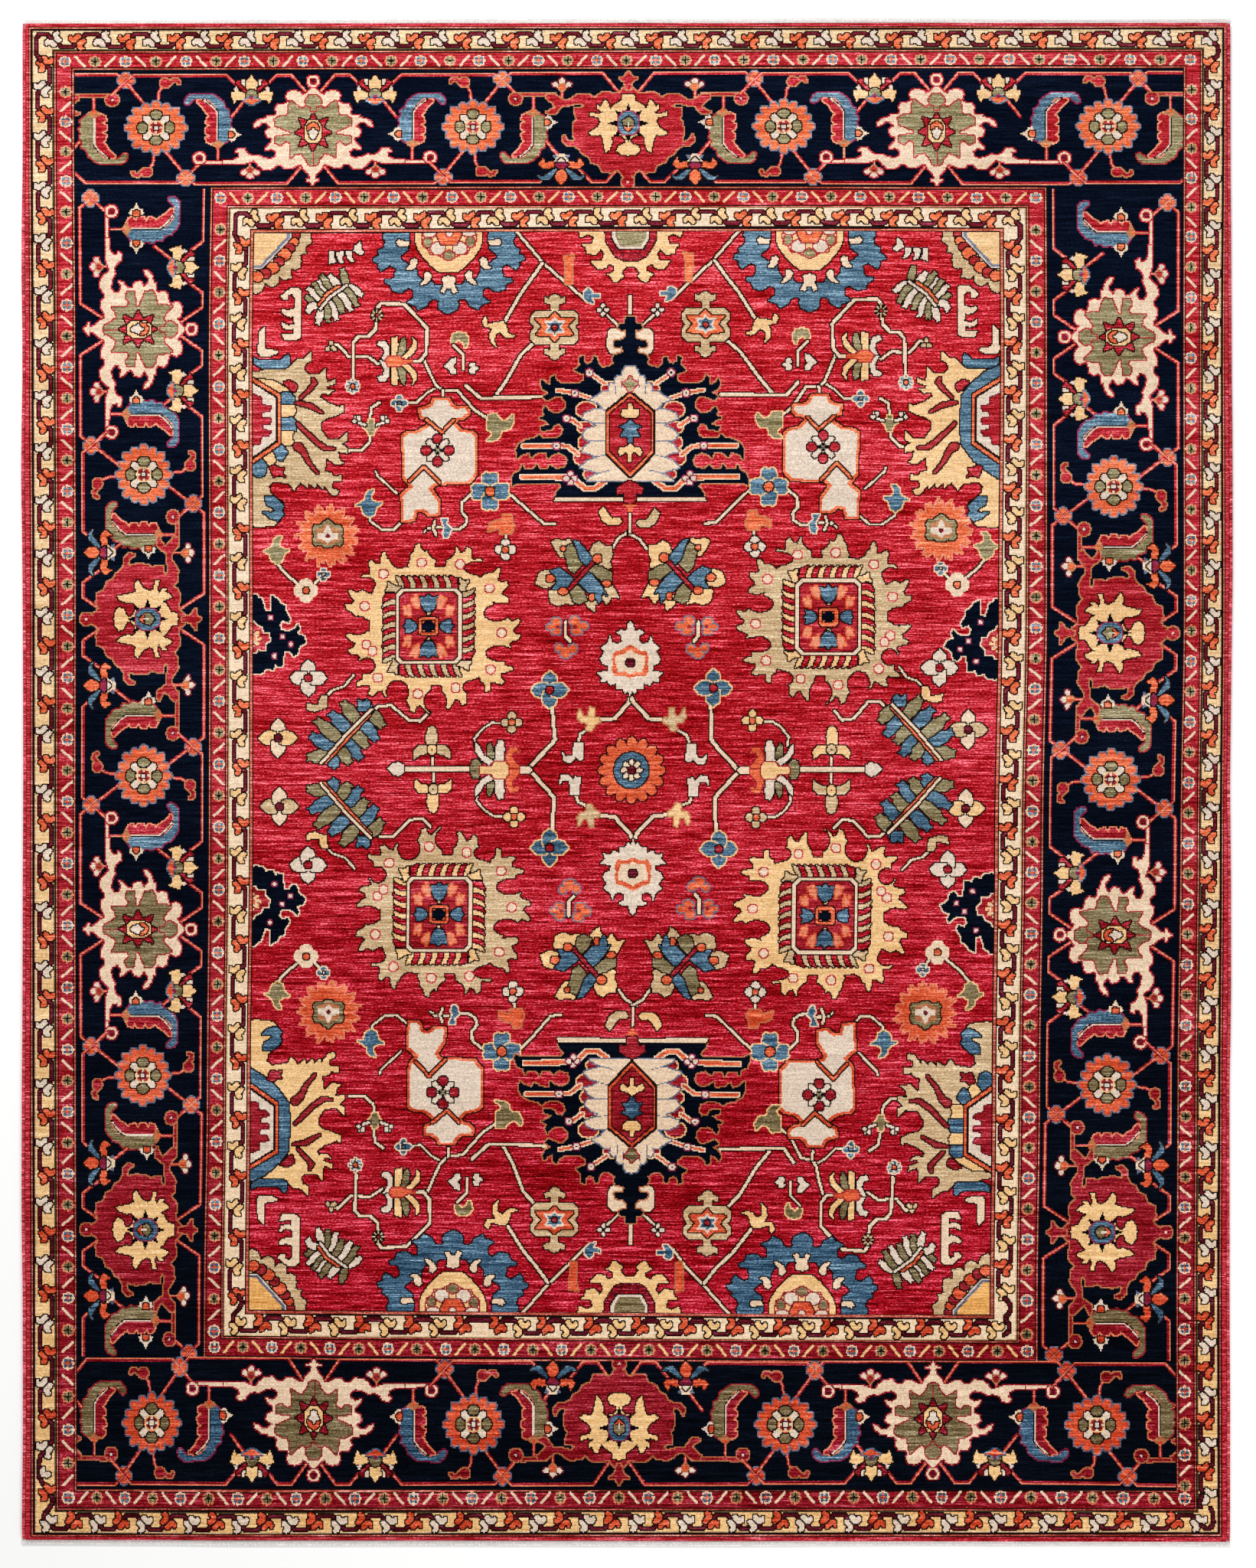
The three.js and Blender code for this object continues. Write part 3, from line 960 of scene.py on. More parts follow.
def blueSpray(pen):
    leafSpray(
        pen, (97, 107),
        (
            (0.16, -30, 12), (0.28, -24, 58), (0.42, -12, 90), (0.6, 18, 104), (0.78, 42, 126),
            (0.98, 84, 128), (0.98, 124, 72), (0.8, 112, 44), (0.62, 92, 30), (0.45, 80, 6), (0.3, 58, -2),
            (0.15, 30, -10),
        ),
        ("sage", "blue"), 22,
    )
    pen.patch([(74, 106), (72, 130), (84, 124), (92, 130), (98, 124), (96, 106)], "blue")
    pen.line([(6, 0), (100, 104)], 7, "orange")
    pen.line([(-1, -1), (48, 56), (101, 109)], 5, "cream")


def hookedComb(pen):
    pen.patch([
        (7, 48), (0, 55), (-15, 55), (-36, 38), (-28, 30), (-20, 31), (-21, 40), (-12, 43), (-7, 36),
        (-7, 14), (-20, 9), (-30, 13), (-34, 8), (-26, 0), (-14, -4), (-8, 0), (-7, -18), (-20, -21),
        (-34, -13), (-30, -26), (-18, -30), (-8, -26), (-8, -38), (-33, -37), (-27, -50), (-3, -50),
        (7, -44),
    ], "cream")


def ivoryBoot(pen):
    pen.patch([(9, 32), (-3, 20), (-5, -20), (0, -28), (20, -28), (35, -22), (35, -17), (10, -13)], "cream")


def lilyBranch(pen):
    for half in pen.aboveAndBelow():
        half.patch([(-10, 10), (-10, 46), (3, 50), (4, 28), (3, 10)], "maize")
        half.patch([(2, 10), (6, 28), (10, 44), (16, 48), (20, 36), (18, 20), (10, 10)], "sage")
        half.patch([(12, 8), (26, 22), (34, 36), (32, 48), (41, 38), (40, 24), (32, 14), (20, 4)], "maize")
        half.patch([
            (-38, 33), (-34, 41), (-22, 40), (-15, 30), (-14, 14), (-20, 2), (-34, -2), (-28, 8), (-24, 16),
            (-26, 28), (-32, 30),
        ], "ivory")
    pen.patch([
        (-21, 0), (-15, 9), (6, 10), (12, 3), (31, 3), (31, -3), (12, -5), (6, -11), (-15, -10),
    ], "orange", "brick")


def seedRosette(pen):
    pen.oval(0, 0, 14, 14, "umber", None)
    petals(pen, 8, 9, 1.6, 4, "straw", None)
    pen.oval(0, 0, 2.4, 2.4, "brick", None)


def starFlower(pen):
    petals(pen, 8, 9, 3.4, 4.6, "blue", "cream")
    pen.oval(0, 0, 6, 6, "blue", None)
    pen.oval(0, 0, 4, 4, "orange")


def bottle(pen):
    outline = [
        (-5, 102), (20, 102), (26, 90), (36, 83), (55, 84), (60, 76), (50, 67), (36, 64), (28, 54),
        (44, 38), (68, 33), (76, 24), (76, -46), (60, -64), (-8, -66), (-18, -78), (0, -104), (2, -127),
        (-14, -129), (-28, -118), (-46, -121), (-50, -139), (-68, -141), (-70, -92), (-48, -74), (-66, -52),
        (-68, 26), (-60, 33), (-36, 36), (-20, 46), (-12, 56), (-16, 64), (-32, 70), (-34, 82), (-20, 84),
        (-10, 90),
    ]
    pen.patch(outline, "umber", knots=3)
    pen.patch(outline, "orange", "orange", knots=2)
    pen.patch(outline, "ivory", None)
    for points in ([(-22, 62), (9, 36), (32, 60)], [(-56, -62), (-28, -32), (4, -66)]):
        pen.line(points, 5, "orange")
    for arm in pen.turned(4):
        arm.at(0, 0, turn=45).folded([(0, 29), (4, 27), (7, 18), (3, 6)], "ivory")
        arm.oval(0, 23, 9, 9, "crimson")
    pen.oval(0, 0, 8, 8, "navy", None)
    pen.line([(-5, -5), (5, 5)], 2.4, "sage", None)
    pen.line([(-5, 5), (5, -5)], 2.4, "sage", None)


def cartouche(pen):
    pen.folded([
        (0, 66), (8, 64), (12, 58), (20, 61), (21, 50), (8, 46), (7, 34), (38, 33), (48, 22), (48, 10),
        (41, 1), (48, -10), (48, -24), (38, -34), (8, -35), (8, -46), (20, -44), (21, -54), (12, -55),
        (8, -62), (0, -66),
    ], "straw")
    star = mirrored([(0, 30), (12, 19), (39, 18), (25, 1), (39, -16), (11, -17), (0, -29)])
    pen.patch(star, "orange")
    pen.patch([(x * 0.55, y * 0.7) for x, y in star], "ivory", None)
    pen.patch([(x * 0.4, y * 0.5) for x, y in star], "blue", None)
    pen.oval(0, 0, 5, 5, "brick")


# The great dark palmette; pen at the middle of its lozenge, its spike up
def navyPalmette(pen):
    pen.patch([(-4, 222), (-4, 262), (4, 262), (4, 222)], "cream")
    for half in pen.both():
        stem(half, [(20, 196), (48, 222)], 4)
        petals(half.at(55, 232), 4, 8, 4, 5, "ivory")
        half.oval(55, 232, 3, 3, "umber", None)
        half.patch([(8, 193), (38, 194), (46, 186), (47, 156), (42, 146), (34, 141), (14, 142)], "cream")
    pen.folded([
        (0, 218), (10, 218), (11, 205), (22, 203), (25, 195), (17, 190), (9, 191), (9, 178), (15, 172),
        (31, 169), (35, 160), (30, 156), (17, 157), (14, 146), (32, 141), (36, 132), (33, 124), (43, 117),
        (57, 115), (65, 123), (66, 135), (73, 138), (77, 126), (86, 122), (93, 128), (94, 140), (103, 135),
        (101, 120), (113, 110), (93, 101), (93, 90), (103, 83), (138, 83), (148, 90), (152, 101), (160, 94),
        (160, 80), (170, 84), (177, 93), (181, 84), (176, 72), (163, 65), (176, 57), (168, 49), (150, 57),
        (138, 57), (129, 46), (130, 34), (139, 25), (153, 23), (163, 28), (171, 38), (176, 28), (172, 19),
        (185, 14), (170, 8), (162, 1), (180, -4), (178, -12), (158, -10), (153, 0), (141, 2), (134, -9),
        (138, -22), (150, -28), (176, -27), (183, -19), (191, -26), (208, -29), (223, -38), (229, -50),
        (228, -70), (219, -60), (203, -55), (198, -66), (188, -57), (168, -55), (166, -68), (156, -60),
        (143, -56), (130, -62), (125, -72), (130, -85), (148, -90), (160, -81), (166, -89), (183, -88),
        (187, -79), (193, -88), (213, -88), (217, -79), (221, -92), (233, -97), (238, -110), (238, -123),
        (228, -118), (143, -117), (138, -124), (149, -138), (151, -148), (0, -148),
    ], "navy", "tan")
    for half in pen.both():
        half.patch([(9, -147), (150, -147), (154, -155), (9, -154)], "cream")
        for x, y, a, b in (
            (88, 30, 20, 15), (90, -6, 15, 11), (90, -36, 14, 12), (90, -66, 22, 16), (78, -100, 14, 10),
            (40, 79, 8, 7), (50, 73, 7, 6),
        ):
            half.oval(x, y, a, b, "crimson", "maize")
        for points, width in (
            ([(76, 100), (50, 82)], 4), ([(146, 70), (118, 65)], 5), ([(106, 62), (76, 52)], 4),
            ([(120, 12), (100, -2)], 5), ([(214, -42), (156, -42)], 6),
            ([(142, -42), (126, -43), (104, -60)], 5), ([(216, -104), (130, -106)], 8),
            ([(112, -110), (92, -128), (70, -128), (50, -114)], 7),
        ):
            half.line(points, width, "orange", "cream")
        for x, y in ((82, 105), (112, 64), (128, 13), (148, -42)):
            half.oval(x, y, 6.5, 6.5, "ivory", "rose")
            half.oval(x, y, 2, 2, "umber", None)
        petals(half.at(120, -108), 4, 8, 5, 5.5, "ivory", "rose")
        half.oval(120, -108, 3, 3, "umber", None)
    pen.folded([
        (0, 117), (9, 116), (15, 108), (17, 97), (24, 99), (30, 92), (30, 80), (38, 84), (44, 76), (42, 66),
        (54, 68), (66, 58), (82, 50), (64, 44), (52, 30), (72, 30), (92, 22), (96, 12), (78, 6), (66, -2),
        (84, -8), (96, -20), (90, -30), (72, -32), (86, -40), (98, -54), (80, -58), (66, -66), (84, -72),
        (100, -86), (80, -92), (60, -98), (76, -104), (88, -113), (0, -113),
    ], "cream", "slate")
    for half in pen.both():
        for x, y, tipX, tipY in (
            (44, 26, 62, 34), (48, 2, 74, 4), (48, -32, 72, -33), (48, -60, 68, -65), (40, -92, 64, -98),
            (16, 92, 18, 76), (30, 78, 30, 62),
        ):
            half.line([(x, y), (tipX, tipY)], 2, "slate", None)
    hexagon = [(0, 66), (48, 27), (48, -58), (0, -108), (-48, -58), (-48, 27)]
    pen.patch(hexagon, "umber")
    pen.patch([(x * 0.97, y * 0.97 - 0.5) for x, y in hexagon], "orange", None)
    pen.patch([(x * 0.9, y * 0.9 - 1) for x, y in hexagon], "umber", None)
    pen.patch([(x * 0.85, y * 0.86 - 2) for x, y in hexagon], "crimson", None)
    pen.folded([(3, 43), (5, 32), (17, 30), (18, 20), (10, 13)], "maize")
    pen.folded([(0, 11), (8, 2), (22, -4), (11, -9), (20, -24), (6, -25), (4, -36), (0, -37)], "blue")
    pen.folded([
        (0, -38), (10, -46), (20, -47), (25, -55), (20, -63), (9, -55), (4, -58), (4, -75), (0, -75),
    ], "maize")
    pen.folded([(0, 98), (6, 89), (17, 84), (8, 76), (4, 68), (0, 66)], "sage", "crimson")
    pen.folded([
        (0, -113), (12, -118), (26, -128), (25, -141), (12, -138), (11, -156), (0, -160),
    ], "crimson")
    tip = [(0, -158), (3, -160), (16, -162), (6, -168), (4, -178), (0, -178)]
    pen.folded([(x * 0.9, y) for x, y in tip], "orange", None)


def navyHalf(pen):
    pen.patch([
        (-5, 84), (10, 88), (16, 80), (22, 78), (30, 52), (40, 54), (40, 86), (54, 78), (60, 68), (70, 64),
        (70, 54), (79, 38), (77, 30), (64, 34), (58, 26), (62, 14), (78, 13), (88, 18), (95, 26), (99, 18),
        (93, 8), (107, 2), (112, -10), (98, -18), (94, -34), (86, -38), (78, -28), (68, -28), (66, -40),
        (66, -58), (54, -60), (50, -54), (45, -66), (30, -64), (25, -72), (10, -75), (-5, -70),
    ], "navy", "cream")
    pen.patch([
        (-5, 30), (5, 32), (10, 24), (22, 18), (24, 8), (36, 8), (38, -6), (28, -14), (28, -26), (14, -24),
        (8, -32), (-5, -28),
    ], "crimson", "cream")
    petals(pen.at(4, -2), 8, 12, 5, 6, "maize", "brick")
    pen.oval(4, -2, 7, 7, "orange", "ivory")
    for x, y in ((40, 40), (48, -38), (80, -14), (64, 2)):
        pen.oval(x, y, 4, 4, "ivory", "rose")


def flamePalmette(pen, banded):
    pen.patch([
        (-5, 96), (15, 98), (28, 104), (60, 104), (78, 112), (88, 122), (102, 124), (118, 138), (117, 119),
        (106, 114), (102, 102), (110, 93), (134, 93), (146, 106), (146, 86), (150, 76), (167, 83),
        (165, 73), (147, 67), (150, 60), (165, 62), (152, 52), (138, 55), (134, 46), (150, 35), (175, 25),
        (181, 33), (182, 16), (165, 8), (148, 4), (136, -6), (138, -22), (150, -39), (175, -40), (190, -24),
        (190, -42), (178, -48), (190, -58), (190, -68), (170, -64), (175, -82), (184, -88), (165, -91),
        (148, -76), (144, -104), (158, -108), (162, -115), (178, -112), (178, -124), (160, -125),
        (158, -138), (172, -144), (168, -153), (157, -151), (143, -132), (140, -141), (128, -129),
        (125, -139), (110, -127), (110, -138), (95, -127), (82, -143), (74, -130), (42, -125), (32, -133),
        (33, -146), (44, -158), (60, -168), (56, -200), (44, -214), (8, -218), (-5, -214),
    ], "straw")
    if banded:
        pen.patch([
            (-5, 112), (28, 98), (60, 70), (76, 48), (80, -8), (76, -50), (50, -84), (24, -104), (-5, -122),
            (-5, -84), (50, -46), (50, 48), (-5, 84),
        ], "blue")
    else:
        for yarn, points in (
            ("maize", [(-5, 84), (40, 80), (78, 58), (52, 48)]),
            ("blue", [(53, 47), (60, 55), (74, 56), (84, 46), (84, 30), (53, 30)]),
            ("maize", [(53, 29), (84, 29), (86, 18), (80, 6), (53, 4)]),
            ("blue", [(53, 3), (80, 5), (88, -6), (86, -22), (53, -23)]),
            ("maize", [(53, -24), (82, -24), (78, -36), (84, -50), (60, -52), (52, -44)]),
            ("blue", [(52, -46), (62, -55), (70, -66), (58, -84), (46, -78), (38, -60)]),
            ("maize", [(38, -62), (46, -82), (38, -96), (26, -90), (20, -74)]),
            ("blue", [(18, -80), (28, -92), (24, -112), (10, -118), (-5, -104), (-5, -84)]),
        ):
            pen.patch(points, yarn)
    for points, width in (
        ([(96, 44), (112, 60), (124, 74), (120, 84)], [5, 7, 9, 5]),
        ([(88, 34), (112, 30), (140, 14)], [6, 10, 4]),
        ([(90, -8), (126, -44), (146, -58), (164, -58)], [6, 9, 9, 4]),
        ([(90, -54), (100, -62), (112, -86), (130, -108)], [16, 12, 7, 5]),
    ):
        pen.line(points, width, "brick")
    pen.patch([(60, 76), (74, 80), (90, 70), (84, 56), (76, 60)], "crimson")
    pen.patch([
        (34, -96), (44, -92), (52, -98), (64, -98), (58, -106), (64, -116), (52, -112), (42, -116),
        (36, -106),
    ], "crimson")
    pen.line([(-8, 86), (53, 49), (53, -47), (-8, -90)], 6, "orange")
    pen.patch([(-8, 78), (46, 44), (46, -42), (-8, -80)], "ivory")
    pen.patch([
        (-8, 54), (18, 44), (18, 30), (36, 26), (32, 18), (18, 16), (18, 4), (36, 2), (34, -8), (20, -8),
        (20, -20), (36, -24), (30, -32), (16, -34), (14, -48), (-8, -52),
    ], "crimson", "maroon")
    pen.patch([
        (2, 126), (12, 121), (56, 121), (70, 133), (75, 126), (73, 110), (64, 105), (18, 105), (4, 112),
    ], "blue")
    pen.patch([
        (24, -155), (42, -155), (53, -165), (62, -175), (58, -184), (62, -193), (50, -205), (35, -200),
        (18, -186), (38, -188), (44, -184), (38, -177), (26, -172),
    ], "blue")


def sageHook(pen):
    pen.patch([
        (-23, 22), (-7, 23), (2, 11), (14, 8), (27, 21), (28, 6), (20, -8), (4, -10), (2, -22), (-8, -30),
        (-27, -32), (-15, -22), (-16, -12), (-24, -8),
    ], "sage", "maize")


def clawHook(pen):
    pen.patch([
        (-28, 25), (-36, 16), (-30, 4), (-14, 2), (-20, -10), (-18, -26), (-6, -37), (-10, -24), (-8, -10),
        (2, -6), (10, -16), (20, -19), (32, -15), (18, -10), (14, 6), (8, 15), (-8, 14), (-24, 9),
        (-25, 18),
    ], "maize")


def starBud(pen, yarn):
    pen.patch([
        (-5, 22), (2, 30), (12, 32), (6, 22), (6, 12), (14, 6), (28, 5), (16, -4), (12, -18), (2, -24),
        (-10, -16), (-14, -2), (-26, 0), (-14, 6), (-7, 12),
    ], yarn, "maize")


def lilyBud(pen):
    pen.patch([
        (-4, 17), (4, 17), (6, 8), (15, 4), (8, -3), (4, -14), (-4, -14), (-8, -3), (-17, 4), (-6, 8),
    ], "sage", "maize")
    for half in pen.both():
        half.line([(12, 6), (24, 10), (30, 22)], 5, "ivory")
        half.oval(24, 20, 4, 5, "ivory")
        half.oval(33, 14, 4, 4, "ivory")


# Side lily on the field's cross axis; it points left, both halves alike
def orangeLily(pen):
    for half in pen.aboveAndBelow():
        half.patch([(-12, 20), (-10, 46), (-4, 60), (6, 58), (8, 42), (5, 18)], "ivory")
        half.patch([(-26, 24), (-28, 46), (-22, 56), (-15, 42), (-12, 24)], "sage")
        half.patch([(-50, 54), (-50, 36), (-38, 20), (-24, 10), (-14, 18), (-34, 30), (-42, 46)], "ivory")
        half.patch([
            (10, 12), (13, 34), (20, 46), (34, 44), (38, 34), (26, 36), (22, 26), (30, 16), (37, 8),
            (37, -2), (14, -2),
        ], "orange", "brick")
    pen.patch([
        (-62, 4), (-58, 18), (-48, 22), (-40, 14), (-38, 0), (-44, -16), (-55, -17), (-61, -6),
    ], "sage")
    pen.patch([
        (-42, 0), (-40, 7), (-18, 8), (-12, 16), (10, 16), (16, 8), (16, -8), (10, -17), (-12, -17),
        (-18, -8), (-40, -8),
    ], "maize", "brick")


def whiteMedal(pen):
    pen.folded([
        (0, 84), (6, 78), (8, 65), (20, 66), (29, 60), (18, 55), (17, 43), (25, 38), (37, 41), (41, 55),
        (46, 40), (60, 30), (52, 22), (61, 8), (56, -2), (46, -6), (45, -16), (66, -20), (57, -30),
        (60, -40), (46, -37), (40, -46), (27, -41), (28, -52), (14, -54), (10, -63), (4, -57), (0, -70),
    ], "ivory")
    pen.folded([
        (0, 36), (10, 31), (20, 25), (33, 22), (37, 8), (35, -4), (38, -14), (31, -28), (14, -26), (0, -32),
    ], "orange", None)
    pen.folded([
        (0, 27), (8, 20), (18, 16), (29, 14), (30, 0), (27, -10), (24, -20), (10, -18), (0, -24),
    ], "cream", None)
    pen.oval(0, 0, 8, 8, "maroon")


sunRays = 16


def sunRosette(pen):
    outer = [ovalPoints(0, 0, 56, 55)]
    for k in range(sunRays):
        angle = 2 * pi * k / sunRays
        outer.append(ovalPoints(56 * cos(angle), 55 * sin(angle), 12, 9.4, degrees(angle)))
    pen.patch(outer[0], "orange", "umber", outer[1:])
    for arm in pen.turned(sunRays, 11):
        arm.line([(0, 48), (0, 58)], 1.6, "brick", None)
    pen.oval(0, 0, 35, 36, "blue")
    petals(pen, 8, 15, 4.6, 7, "cream")
    pen.oval(0, 0, 7, 7, "maroon")


def crumbs(pen):
    for x, y, a, b in (
        (-20, 20, 10, 11), (-20, 4, 9, 8), (-32, 12, 7, 6), (18, 24, 10, 10), (22, 4, 11, 8),
        (36, 14, 8, 7), (-14, -30, 7, 8), (0, -42, 12, 8), (14, -32, 8, 9),
    ):
        pen.oval(x, y, a, b, "orange", "slate")
    for x, y, a, b in ((-20, 16, 8, 8), (24, 14, 10, 8), (0, -36, 10, 7)):
        pen.oval(x, y, a, b, "orange", None)
    pen.oval(18, 12, 5, 4, "brick", None)
    pen.oval(-17, 12, 4, 4, "brick", None)
    stem(pen, [(-1, 22), (-1, -6), (8, -16)], 6)


def leafCluster(pen, bloom):
    for points in (
        [
            (16, 42), (24, 60), (36, 66), (48, 58), (62, 56), (64, 40), (58, 26), (62, 14), (50, 8),
            (38, 16), (28, 24),
        ],
        [(-60, 66), (-50, 72), (-34, 68), (-22, 72), (-18, 58), (-30, 50), (-26, 36), (-42, 36), (-52, 50)],
        [(-92, -18), (-84, 4), (-66, 10), (-52, 0), (-54, -22), (-74, -28)],
        [(-66, -34), (-62, -56), (-46, -64), (-30, -58), (-14, -62), (-10, -44), (-24, -30), (-50, -26)],
        [(40, -20), (62, -18), (70, -34), (78, -48), (62, -46), (52, -62), (42, -48), (30, -34)],
        [(12, -44), (34, -44), (40, -56), (30, -62), (28, -76), (14, -66), (8, -56)],
    ):
        pen.patch(points, bloom)
    for points, yarn in (
        ([(-36, 52), (-18, 62), (-8, 44), (6, 26), (-2, 14), (-14, 2), (-26, 12), (-30, 32)], "sage"),
        ([(-16, 70), (-4, 66), (14, 44), (26, 26), (12, 16), (-2, 30), (-8, 50)], "blue"),
        ([(-62, 8), (-44, 14), (-22, -2), (-10, -16), (-26, -30), (-58, -30), (-48, -14)], "blue"),
        ([(22, 20), (40, 16), (62, 4), (62, -20), (44, -14), (28, -2), (14, 8)], "sage"),
        ([
            (6, 6), (20, 2), (40, -22), (54, -46), (44, -34), (38, -60), (28, -46), (12, -34), (-4, -16),
        ], "blue"),
        ([(-22, -34), (-8, -20), (6, -34), (12, -52), (-4, -60), (-16, -54)], "sage"),
    ):
        pen.patch(points, yarn)
    pen.line([(-28, -34), (24, 24)], 6, "crimson")
    for x, y, a, b in (
        (33, 32, 9, 8), (52, -18, 9, 6), (-62, -8, 9, 7), (-36, -34, 9, 7), (-36, 52, 5, 5),
        (22, -46, 5, 8),
    ):
        pen.oval(x, y, a, b, "orange")


# Where the motifs of the field lie: upper left, upper right, lower left, lower right

motifPlaces = dict(
    corner=((-750, 1092), (750, 1092), (-750, -1092), (750, -1092)),
    halfPalmette=((-358, 1092), (368, 1092), (-338, -1092), (370, -1092)),
    spray=((-612, 940), (618, 943), (-604, -957), (607, -959)),
    comb=((-660, 925), (672, 929), (-657, -947), (658, -935)),
    lily=((-462, 832), (475, 838), (-447, -851), (465, -852)),
    flames=((-750, 713), (750, 713), (-750, -721), (750, -719)),
    cartouche=((-144, 897), (159, 902), (-133, -904), (177, -909)),
    fork=((-168, 1027), (175, 1032), (-143, -1032), (169, -1032)),
    bottle=((-379, 651), (396, 655), (-361, -648), (401, -649)),
    sageHook=((-255, 700), (289, 704), (-229, -696), (299, -702)),
    blueCross=((-273, 567), (287, 575), (-242, -565), (301, -563)),
    orangeFlame=((-600, 478), (635, 489), (-594, -486), (615, -483)),
    whiteFlower=((-644, 367), (668, 380), (-641, -374), (638, -361)),
    ringPalmette=((-397, 295), (409, 313), (-373, -288), (409, -289)),
    navyHalf=((-755, 272), (755, 264), (-755, -266), (755, -276)),
    whiteCross=((-639, 190), (634, 212), (-639, -189), (657, -194)),
    maizeCross=((-700, 68), (694, 88), (-697, -71), (692, -71)),
    blueSpray=((-612, 18), (640, 28), (-613, -24), (638, -12)),
    trefoil=((-389, 45), (419, 46), (-386, -35), (420, -36)),
    plus=((-228, 100), (258, 104), (-222, -91), (268, -91)),
    bluePoint=((-152, 165), (178, 169), (-150, -153), (193, -155)),
    maizeHook=((-72, 110), (100, 110), (-71, -93), (111, -91)),
    boot=((-95, 40), (137, 37), (-101, -27), (142, -29)),
    crumbs=((-120, 280), (146, 280), (-109, -268), (153, -263)),
    cluster=((-90, 398), (110, 400), (-75, -388), (123, -388)),
    clog=((-35, 515), (48, 511), (-13, -502), (62, -503)),
    medal=((10, 220), (10, 220), (19, -205), (19, -205)),
)
quarterTurns = ((0, False), (0, True), (180, True), (180, False))
quarterSigns = ((1, 1), (-1, 1), (1, -1), (-1, -1))
nearby = 15  # millimetres; motifs nearer than this to a place count alike for it


# Carries a place of the upper left quarter to another one, as the motifs near it have moved
def quarterPlace(k, x, y):
    signX, signY = quarterSigns[k]
    weights = moveX = moveY = 0.0
    for spots in motifPlaces.values():
        (fromX, fromY), (toX, toY) = spots[0], spots[k]
        weight = ((x - fromX) ** 2 + (y - fromY) ** 2 + nearby**2) ** -1.5
        weights += weight
        moveX += weight * (toX - signX * fromX)
        moveY += weight * (toY - signY * fromY)
    return signX * x + moveX / weights, signY * y + moveY / weights


# One quarter of the field, whose pens all draw as in the upper left one
class Quarter:
    def __init__(self, k, swap=None):
        self.k, self.swap = k, swap
        self.turn, self.flip = quarterTurns[k]

    def pen(self, x, y):
        return Pen(x, y, self.turn, self.flip, swap=self.swap)

    def on(self, name):
        return self.pen(*motifPlaces[name][self.k])

    def near(self, x, y):
        return self.pen(*quarterPlace(self.k, x, y))

    def stem(self, points, width):
        fine = [points[0]]
        for (x1, y1), (x2, y2) in zip(points, points[1:]):
            steps = max(1, int(hypot(x2 - x1, y2 - y1) / 30))
            fine += [(x1 + (x2 - x1) * k / steps, y1 + (y2 - y1) * k / steps) for k in range(1, steps + 1)]
        stem(Pen(), [quarterPlace(self.k, x, y) for x, y in fine], width)


# Stems of one quarter: width, then the points of each
stems = {
    4: [
        [(-380, 779), (-402, 766), (-422, 747), (-442, 747)],
        [(-503, 608), (-500, 600), (-462, 565)],
        [(-514, 530), (-514, 508), (-490, 490), (-468, 490), (-448, 510)],
        [(-396, 494), (-406, 486)],
        [(-548, 196), (-566, 174), (-590, 166), (-604, 152)],
        [(-300, 50), (-303, 68), (-286, 88), (-268, 99), (-246, 98)],
    ],
    5: [
        [(-226, 1096), (-168, 1027), (-126, 990), (-86, 955)],
        [(-592, 864), (-580, 866), (-558, 842), (-520, 842), (-498, 826)],
        [(-408, 838), (-394, 806), (-382, 782), (-368, 772), (-340, 772), (-305, 732), (-276, 712)],
        [(-368, 772), (-368, 758)],
        [(-514, 684), (-516, 668), (-532, 652), (-562, 650)],
        [(-515, 714), (-512, 738), (-496, 748)],
        [(-235, 562), (-212, 542), (-164, 500), (-142, 500)],
        [(-311, 562), (-330, 545), (-330, 526), (-320, 514), (-322, 500), (-336, 491), (-352, 490)],
        [(-372, 495), (-398, 494)],
        [(-384, 508), (-388, 494), (-382, 480)],
        [(-242, 462), (-242, 482)],
        [(-708, 428), (-682, 398), (-652, 374)],
        [(-632, 374), (-609, 400)],
        [(-510, 120), (-498, 133), (-472, 135), (-436, 105), (-412, 103), (-396, 120)],
        [(-70, 88), (-90, 76), (-93, 56)],
        [(8, 484), (-14, 472), (-26, 452)],
    ],
    6: [
        [(-170, 1026), (-215, 962), (-243, 912)],
        [(-188, 864), (-212, 842), (-240, 792), (-262, 760)],
        [(-322, 781), (-292, 755), (-165, 757)],
        [(-432, 832), (-414, 832), (-402, 848), (-400, 898), (-446, 947), (-494, 949), (-503, 936)],
        [(-502, 912), (-504, 896), (-518, 882), (-538, 882), (-548, 870), (-548, 800)],
    ],
    7: [
        [(-196, 5), (-150, 52), (-140, 65), (-143, 90), (-147, 135)],
        [(10, 148), (8, 140), (-20, 107), (-52, 105)],
    ],
}


